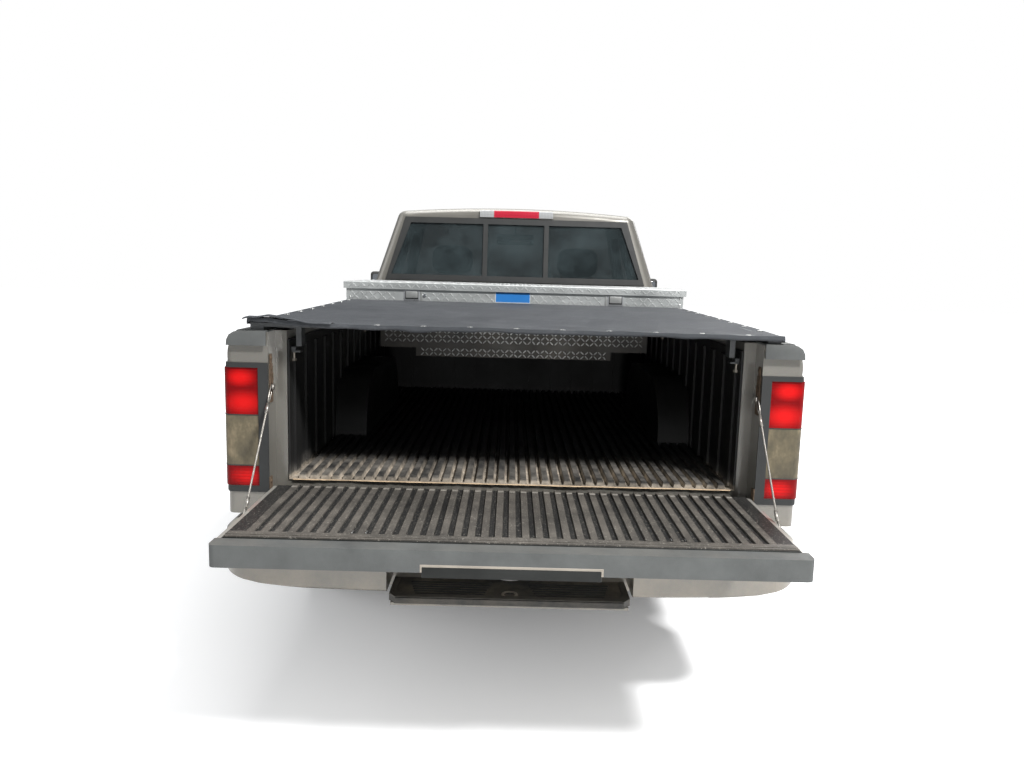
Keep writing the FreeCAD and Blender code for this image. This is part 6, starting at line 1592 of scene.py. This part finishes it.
def build_dash_details():
    """Instruments with their hood, radio, heater knobs and glove box."""
    dials, needles, knobs = None, None, None
    for x, radius in DIALS:
        place = on_dash(DASH_HIGH_FACE, x, 0.52)
        dials = disc_bm(radius, 8, 0.0050, place, 0.0008, dials)
        reach = radius * 0.8
        hand = ((-0.0012, -0.002), (0.0012, -0.002), (0.0004, reach), (-0.0004, reach))
        needles = outline_bm(hand, 0.0058, place, 0.0, needles)
    for x, share, radius in KNOBS:
        knobs = disc_bm(radius, 6, 0.0160, on_dash(DASH_LOW_FACE, x, share), 0.0015, knobs)
    cluster = panel_bm(0.120, 0.034, 0.010, 0.0035, on_dash(DASH_HIGH_FACE, DRIVER_X, 0.52), 0.0010)
    hood = box_bm((0.228, -1.225, 0.992), (0.502, -1.098, 1.040), 0.016, 4)
    radio = panel_bm(0.091, 0.026, 0.003, 0.0060, on_dash(DASH_LOW_FACE, 0.0, 0.78), 0.0012)
    heater = panel_bm(0.091, 0.022, 0.004, 0.0045, on_dash(DASH_LOW_FACE, 0.0, 0.36), 0.0012)
    lid = panel_bm(0.185, 0.055, 0.012, 0.0040, on_dash(DASH_LOW_FACE, -0.400, 0.52), 0.0015)
    catch = panel_bm(0.022, 0.008, 0.003, 0.0085, on_dash(DASH_LOW_FACE, -0.400, 0.80), 0.0015)
    for name, bm, finish in (
        ("instrument_panel", cluster, "black_plastic"),
        ("dials", dials, "bar_plastic"),
        ("needles", needles, "off_white"),
        ("instrument_hood", hood, "interior"),
        ("radio", radio, "black_plastic"),
        ("heater_panel", heater, "black_plastic"),
        ("dash_knobs", knobs, "rubber"),
        ("glove_box_lid", lid, "interior"),
        ("glove_box_catch", catch, "black_plastic"),
    ):
        piece(name, bm, finish)


def build_wheel_pad():
    """The steering wheel's horn pad, and the stalks on its column."""
    pad = panel_bm(0.072, 0.050, 0.022, 0.014,
                   lambda u, v, depth: WHEEL_PLACE @ Vector((u, v, 0.012 + depth)), 0.005)
    piece("horn_pad", pad, "black_plastic", "steering_wheel")
    stalks = None
    for _, side in SIDES:
        root = Vector((DRIVER_X + side * 0.030, -1.004, 0.953))
        tip = root + Vector((side * 0.130, 0.016, 0.030))
        stalks = tube_bm((root, tip), 0.0055, 10, stalks)
        stalks = tube_bm((tip, tip + Vector((side * 0.030, 0.004, 0.007))), 0.0085, 12, stalks)
    piece("column_stalks", stalks, "black_plastic")


def build_cab_controls():
    """Console with its gear lever and brake lever, pedals, and the inner mirror."""
    boot = turned(((0.598, 0.0), (0.598, 0.046), (0.612, 0.042), (0.632, 0.026), (0.650, 0.014),
                   (0.650, 0.0)), 32, "Z", (0.0, -0.900, 0.0))
    knob = turned(((-0.024, 0.0), (-0.024, 0.011), (-0.010, 0.020), (0.008, 0.022), (0.020, 0.015),
                   (0.025, 0.0)), 32, "Z", (0.0, -0.878, 0.818))
    rod = ((0.0, -0.900, 0.640), (0.0, -0.893, 0.730), (0.0, -0.880, 0.800))
    lever = ((0.045, -0.600, 0.595), (0.045, -0.720, 0.640), (0.045, -0.790, 0.662))
    stem = ((0.0, -0.754, 1.500), (0.0, -0.762, 1.560), (0.0, -0.764, 1.600))
    console = box_bm((-0.078, -1.070, 0.5195), (0.078, -0.560, 0.600), 0.012, 3)
    glass = box_bm((-0.112, -0.741, 1.472), (0.112, -0.737, 1.524), 0.0015)
    shell = box_bm((-0.118, -0.766, 1.466), (0.118, -0.740, 1.530), 0.010, 4)
    pads, arms = None, None
    for x, half in ((0.255, 0.030), (0.350, 0.034), (0.445, 0.022)):
        pads = box_bm((x - half, -1.262, 0.612), (x + half, -1.248, 0.672), 0.004, 2, pads)
        arm = ((x, -1.256, 0.640), (x, -1.300, 0.668), (x, -1.330, 0.745))
        arms = tube_bm(arm, 0.0060, 8, arms)
    for name, bm, finish, slot in (
        ("console", console, "interior", "interior"),
        ("gear_lever_boot", boot, "rubber", "interior"),
        ("gear_lever_rod", tube_bm(rod, 0.0065, 12), "chrome", "steel"),
        ("gear_lever_knob", knob, "black_plastic", "interior"),
        ("brake_lever", tube_bm(lever, 0.0100, 12), "black_plastic", "interior"),
        ("pedal_pads", pads, "rubber", "rubber"),
        ("pedal_arms", arms, "frame_paint", "frame_paint"),
        ("inner_mirror_glass", glass, "mirror", "glass"),
        ("inner_mirror_shell", shell, "black_plastic", "interior"),
        ("inner_mirror_stem", tube_bm(stem, 0.0060, 10), "black_plastic", "interior"),
    ):
        piece(name, bm, finish)


# On the door: points (inward, y, z) of its bars, and the speaker's (inward, radius)
DOOR_PULL = ((-0.002, -0.960, 0.900), (0.030, -0.950, 0.902), (0.034, -0.930, 0.902),
             (0.034, -0.830, 0.902), (0.030, -0.810, 0.902), (-0.002, -0.800, 0.900))
WINDOW_CRANK = ((-0.002, -1.080, 0.760), (0.022, -1.080, 0.760), (0.026, -1.076, 0.764),
                (0.030, -1.012, 0.770), (0.034, -1.008, 0.770), (0.056, -1.008, 0.770))
SPEAKER = ((-0.004, 0.0), (-0.004, 0.072), (0.004, 0.072), (0.007, 0.068), (0.007, 0.062),
           (0.003, 0.058), (0.006, 0.0))
DOOR_DEPTH = 0.0752
SPEAKER_Z = 0.620


def build_door_linings():
    """Armrest, pull, window crank and speaker on the inner side of each door."""
    inner = wall_x(BELT_Z) - DOOR_DEPTH
    for side_name, side in SIDES:
        rest = side_box_bm(side, (inner - 0.052, -1.020, 0.808), (inner + 0.004, -0.580, 0.850),
                           0.014, 4, None)
        pull, crank = (
            tube_bm([(side * (inner - inward), y, z) for inward, y, z in points], radius, 12)
            for points, radius in ((DOOR_PULL, 0.0080), (WINDOW_CRANK, 0.0065))
        )
        cone = turned(SPEAKER, 40, "X", (side * (wall_x(SPEAKER_Z) - 0.0770), -1.150, SPEAKER_Z),
                      side=-side)
        for name, bm, finish in (
            ("armrest", rest, "interior"),
            ("door_pull", pull, "black_plastic"),
            ("window_crank", crank, "black_plastic"),
            ("speaker", cone, "rubber"),
        ):
            piece("%s_%s" % (name, side_name), bm, finish, "door_" + side_name)


# Stage and camera

PHOTO_WIDTH = 1024
FOCAL_PIXELS = 798.85
SENSOR_WIDTH = 36.0
CAMERA_PLACE = Vector((0.0182, 4.4337, 1.2989))
PITCH, YAW, ROLL = (math.radians(angle) for angle in (8.036, 0.243, 1.546))
AMBIENT = ((0.86, 0.90, 0.95, 1.0), 0.26)
WHITE = (1.0, 1.0, 1.0, 1.0)


def camera_matrix():
    """The camera's place and its right, up and backward directions."""
    left_turn = Vector((-math.cos(YAW), math.sin(YAW), 0.0))
    level_ahead = Vector((-math.sin(YAW), -math.cos(YAW), 0.0))
    upward = Vector((0.0, 0.0, 1.0))
    raised = upward * math.cos(PITCH) + level_ahead * math.sin(PITCH)
    ahead = level_ahead * math.cos(PITCH) - upward * math.sin(PITCH)
    right = left_turn * math.cos(ROLL) + raised * math.sin(ROLL)
    up = raised * math.cos(ROLL) - left_turn * math.sin(ROLL)
    matrix = Matrix((right, up, -ahead)).transposed().to_4x4()
    matrix.translation = CAMERA_PLACE
    return matrix


def floor_finish():
    """Pale floor that looks white to the camera and keeps the vehicle's shadow."""
    tree = Tree("pale_floor")
    shade = tree.ramp(tree.noise(0.8, 3.0), (0.3, 0.84), (0.7, 0.88))
    across = tree.math("POWER", tree.axis("X"), 2.0)
    along = tree.math("POWER", tree.times(tree.axis("Y"), 0.8), 2.0)
    fade = tree.span(tree.math("SQRT", tree.plus(across, along)), 1.0, 3.2, 0.10)
    camera = tree.nodes.new("ShaderNodeLightPath").outputs["Is Camera Ray"]
    return tree.give(shade, 0.9, Emission_Color=WHITE, Emission_Strength=tree.times(fade, camera))


def build_lamps(key_power, fill_power):
    """Area lamps as (name, place, aim, power, size)."""
    for name, place, aim, power, size in (
        ("key", (-3.8, 6.6, 7.4), (0.0, 1.0, 0.7), key_power, 1.1),
        ("fill", (6.0, 1.0, 3.5), (0.0, 0.4, 0.8), fill_power * 0.3, 4.0),
        ("front", (-4.5, -5.5, 5.0), (0.0, -1.0, 0.8), fill_power * 0.7, 4.0),
        ("top", (0.0, -0.6, 7.5), (0.0, 0.0, 0.0), fill_power, 5.0),
        ("bed", (-0.25, 4.9, 0.78), (-0.10, 0.6, 0.96), key_power * 0.008, 0.3),
    ):
        data = bpy.data.lights.new(name, "AREA")
        data.energy = power
        data.size = size
        lamp = linked(name, data)
        lamp.location = place
        lamp.rotation_euler = (Vector(aim) - Vector(place)).to_track_quat("-Z", "Y").to_euler()


def build_world():
    """Soft light from all round, and plain white where the camera sees past the floor."""
    world = bpy.data.worlds.new("studio")
    world.use_nodes = True
    nodes, links = world.node_tree.nodes, world.node_tree.links
    ambient = nodes["Background"]
    rays, sky, choose = (nodes.new("ShaderNode" + kind)
                         for kind in ("LightPath", "Background", "MixShader"))
    for node, (shade, strength) in ((ambient, AMBIENT), (sky, (WHITE, 1.0))):
        node.inputs[0].default_value = shade
        node.inputs[1].default_value = strength
    links.new(rays.outputs["Is Camera Ray"], choose.inputs[0])
    links.new(ambient.outputs[0], choose.inputs[1])
    links.new(sky.outputs[0], choose.inputs[2])
    links.new(choose.outputs[0], nodes["World Output"].inputs[0])
    bpy.context.scene.world = world


def build_stage(key_power, fill_power):
    """The floor, the lamps, the world and the photo's camera."""
    bpy.ops.mesh.primitive_plane_add(size=60.0)
    ground = bpy.context.object
    ground.name = "floor"
    ground.data.materials.append(floor_finish())
    build_lamps(key_power, fill_power)
    build_world()
    bpy.context.scene.view_settings.view_transform = "Standard"
    data = bpy.data.cameras.new("camera")
    data.sensor_width = SENSOR_WIDTH
    data.lens = FOCAL_PIXELS / PHOTO_WIDTH * SENSOR_WIDTH
    camera = linked("camera", data)
    camera.matrix_world = camera_matrix()
    bpy.context.scene.camera = camera


# Finishes on the CAD nodes

NODE_FINISHES = {
    "high_brake_lamp": "high_lamp",
    "tail_lamp_bezels": "black_plastic",
    "toolbox_tub": "plate_ground",
    "toolbox_lid": "plate_ground",
    "tailgate_liner": "gate_liner",
    "tonneau_rails": "dull_alloy",
    "rear_window_frame": "black_plastic",
}


def dress_nodes():
    """Every CAD node gets the finish of its slot, or one of its own."""
    slots = {row["node"]: row["material_slot"] for row in frame["record"]["subparts"]}
    for name, node in frame["nodes"].items():
        node.data.materials.clear()
        node.data.materials.append(FINISH[NODE_FINISHES.get(name, slots[name])])


# Operators


class TruckSizes(bpy.types.PropertyGroup):
    cover_sag: bpy.props.FloatProperty(
        name="Cover sag", description="How far the cover hangs between its bows", default=0.010,
        min=0.0, max=0.03, unit="LENGTH",
    )
    plate_pitch: bpy.props.FloatProperty(
        name="Plate pitch", description="Spacing of the raised marks on the toolbox",
        default=0.0205, min=0.015, max=0.05, unit="LENGTH",
    )
    key_power: bpy.props.FloatProperty(
        name="Key light", description="Power of the main lamp", default=1350.0, min=0.0,
        unit="POWER",
    )
    fill_power: bpy.props.FloatProperty(
        name="Fill light", description="Power of each fill lamp", default=300.0, min=0.0,
        unit="POWER",
    )


class Step:
    """Shared by all operators: undo, and work on the scene's own sizes."""

    bl_options = {"REGISTER", "UNDO"}
    builders = ()

    def work(self, sizes):
        for build in self.builders:
            build()

    def execute(self, context):
        self.work(context.scene.truck_sizes)
        return {"FINISHED"}


class TRUCK_OT_finishes(Step, bpy.types.Operator):
    """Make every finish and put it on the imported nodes"""
    bl_idname = "truck.finishes"
    bl_label = "Finishes"

    def work(self, sizes):
        FINISH.update(make_finishes())
        dress_nodes()


class TRUCK_OT_cover(Step, bpy.types.Operator):
    """Stretch the cover over the bed, with its press studs"""
    bl_idname = "truck.cover"
    bl_label = "Tonneau cover"

    def work(self, sizes):
        build_cover(sizes.cover_sag)
        build_torn_corner()
        build_snaps()


class TRUCK_OT_seats(Step, bpy.types.Operator):
    """Make the padded seats"""
    bl_idname = "truck.seats"
    bl_label = "Seats"
    builders = (build_seats,)


class TRUCK_OT_tyres(Step, bpy.types.Operator):
    """Make the tyres with their tread, and the wheels' small parts"""
    bl_idname = "truck.tyres"
    bl_label = "Tyres and wheel trim"
    builders = (build_tyres, build_wheel_trim)


class TRUCK_OT_toolbox(Step, bpy.types.Operator):
    """Raise the toolbox's tread plate, and fit its latches and sticker"""
    bl_idname = "truck.toolbox"
    bl_label = "Toolbox"

    def work(self, sizes):
        build_plate_marks(sizes.plate_pitch)
        build_latches()
        build_toolbox_trim()


class TRUCK_OT_tail(Step, bpy.types.Operator):
    """Fit the tailgate's stays and trim, the jambs' hardware and the step's tread"""
    bl_idname = "truck.tail"
    bl_label = "Tail"
    builders = (
        build_lamp_seams, build_cables, build_jamb_hardware, build_rail_cap_ends,
        build_handle_bar, build_gate_liner_trim, build_gate_outside, build_step_lip,
        build_step_trim, build_bumper_slots, build_sand_line, build_rail_clamps,
    )


class TRUCK_OT_outside(Step, bpy.types.Operator):
    """Fit handles, mouldings, wipers, mirror glass and front lamps"""
    bl_idname = "truck.outside"
    bl_label = "Outside trim"
    builders = (
        build_handles, build_side_mouldings, build_arch_lips, build_wipers,
        build_mirror_glass, build_front_lamps, build_grille_rims,
    )


class TRUCK_OT_inside(Step, bpy.types.Operator):
    """Fit the dashboard's details, controls and door linings"""
    bl_idname = "truck.inside"
    bl_label = "Inside trim"
    builders = (
        build_vents, build_dash_details, build_wheel_pad, build_cab_controls, build_door_linings,
    )


class TRUCK_OT_stage(Step, bpy.types.Operator):
    """Set the floor, lamps and camera"""
    bl_idname = "truck.stage"
    bl_label = "Stage"

    def work(self, sizes):
        build_stage(sizes.key_power, sizes.fill_power)


STEPS = (
    TRUCK_OT_finishes,
    TRUCK_OT_cover,
    TRUCK_OT_seats,
    TRUCK_OT_tyres,
    TRUCK_OT_toolbox,
    TRUCK_OT_tail,
    TRUCK_OT_outside,
    TRUCK_OT_inside,
    TRUCK_OT_stage,
)


class TRUCK_PT_panel(bpy.types.Panel):
    bl_label = "Pickup truck"
    bl_idname = "TRUCK_PT_panel"
    bl_space_type = "VIEW_3D"
    bl_region_type = "UI"
    bl_category = "Truck"

    def draw(self, context):
        sizes = context.scene.truck_sizes
        for name in sizes.bl_rna.properties.keys():
            if name not in ("rna_type", "name"):
                self.layout.prop(sizes, name)
        for step in STEPS:
            self.layout.operator(step.bl_idname)


CLASSES = (TruckSizes,) + STEPS + (TRUCK_PT_panel,)


def register():
    for kind in CLASSES:
        bpy.utils.register_class(kind)
    bpy.types.Scene.truck_sizes = bpy.props.PointerProperty(type=TruckSizes)


def unregister():
    del bpy.types.Scene.truck_sizes
    for kind in reversed(CLASSES):
        bpy.utils.unregister_class(kind)


def main():
    register()
    for step in STEPS:
        operator = getattr(bpy.ops.truck, step.bl_idname.split(".")[1])
        operator()


if __name__ == "__main__":
    main()
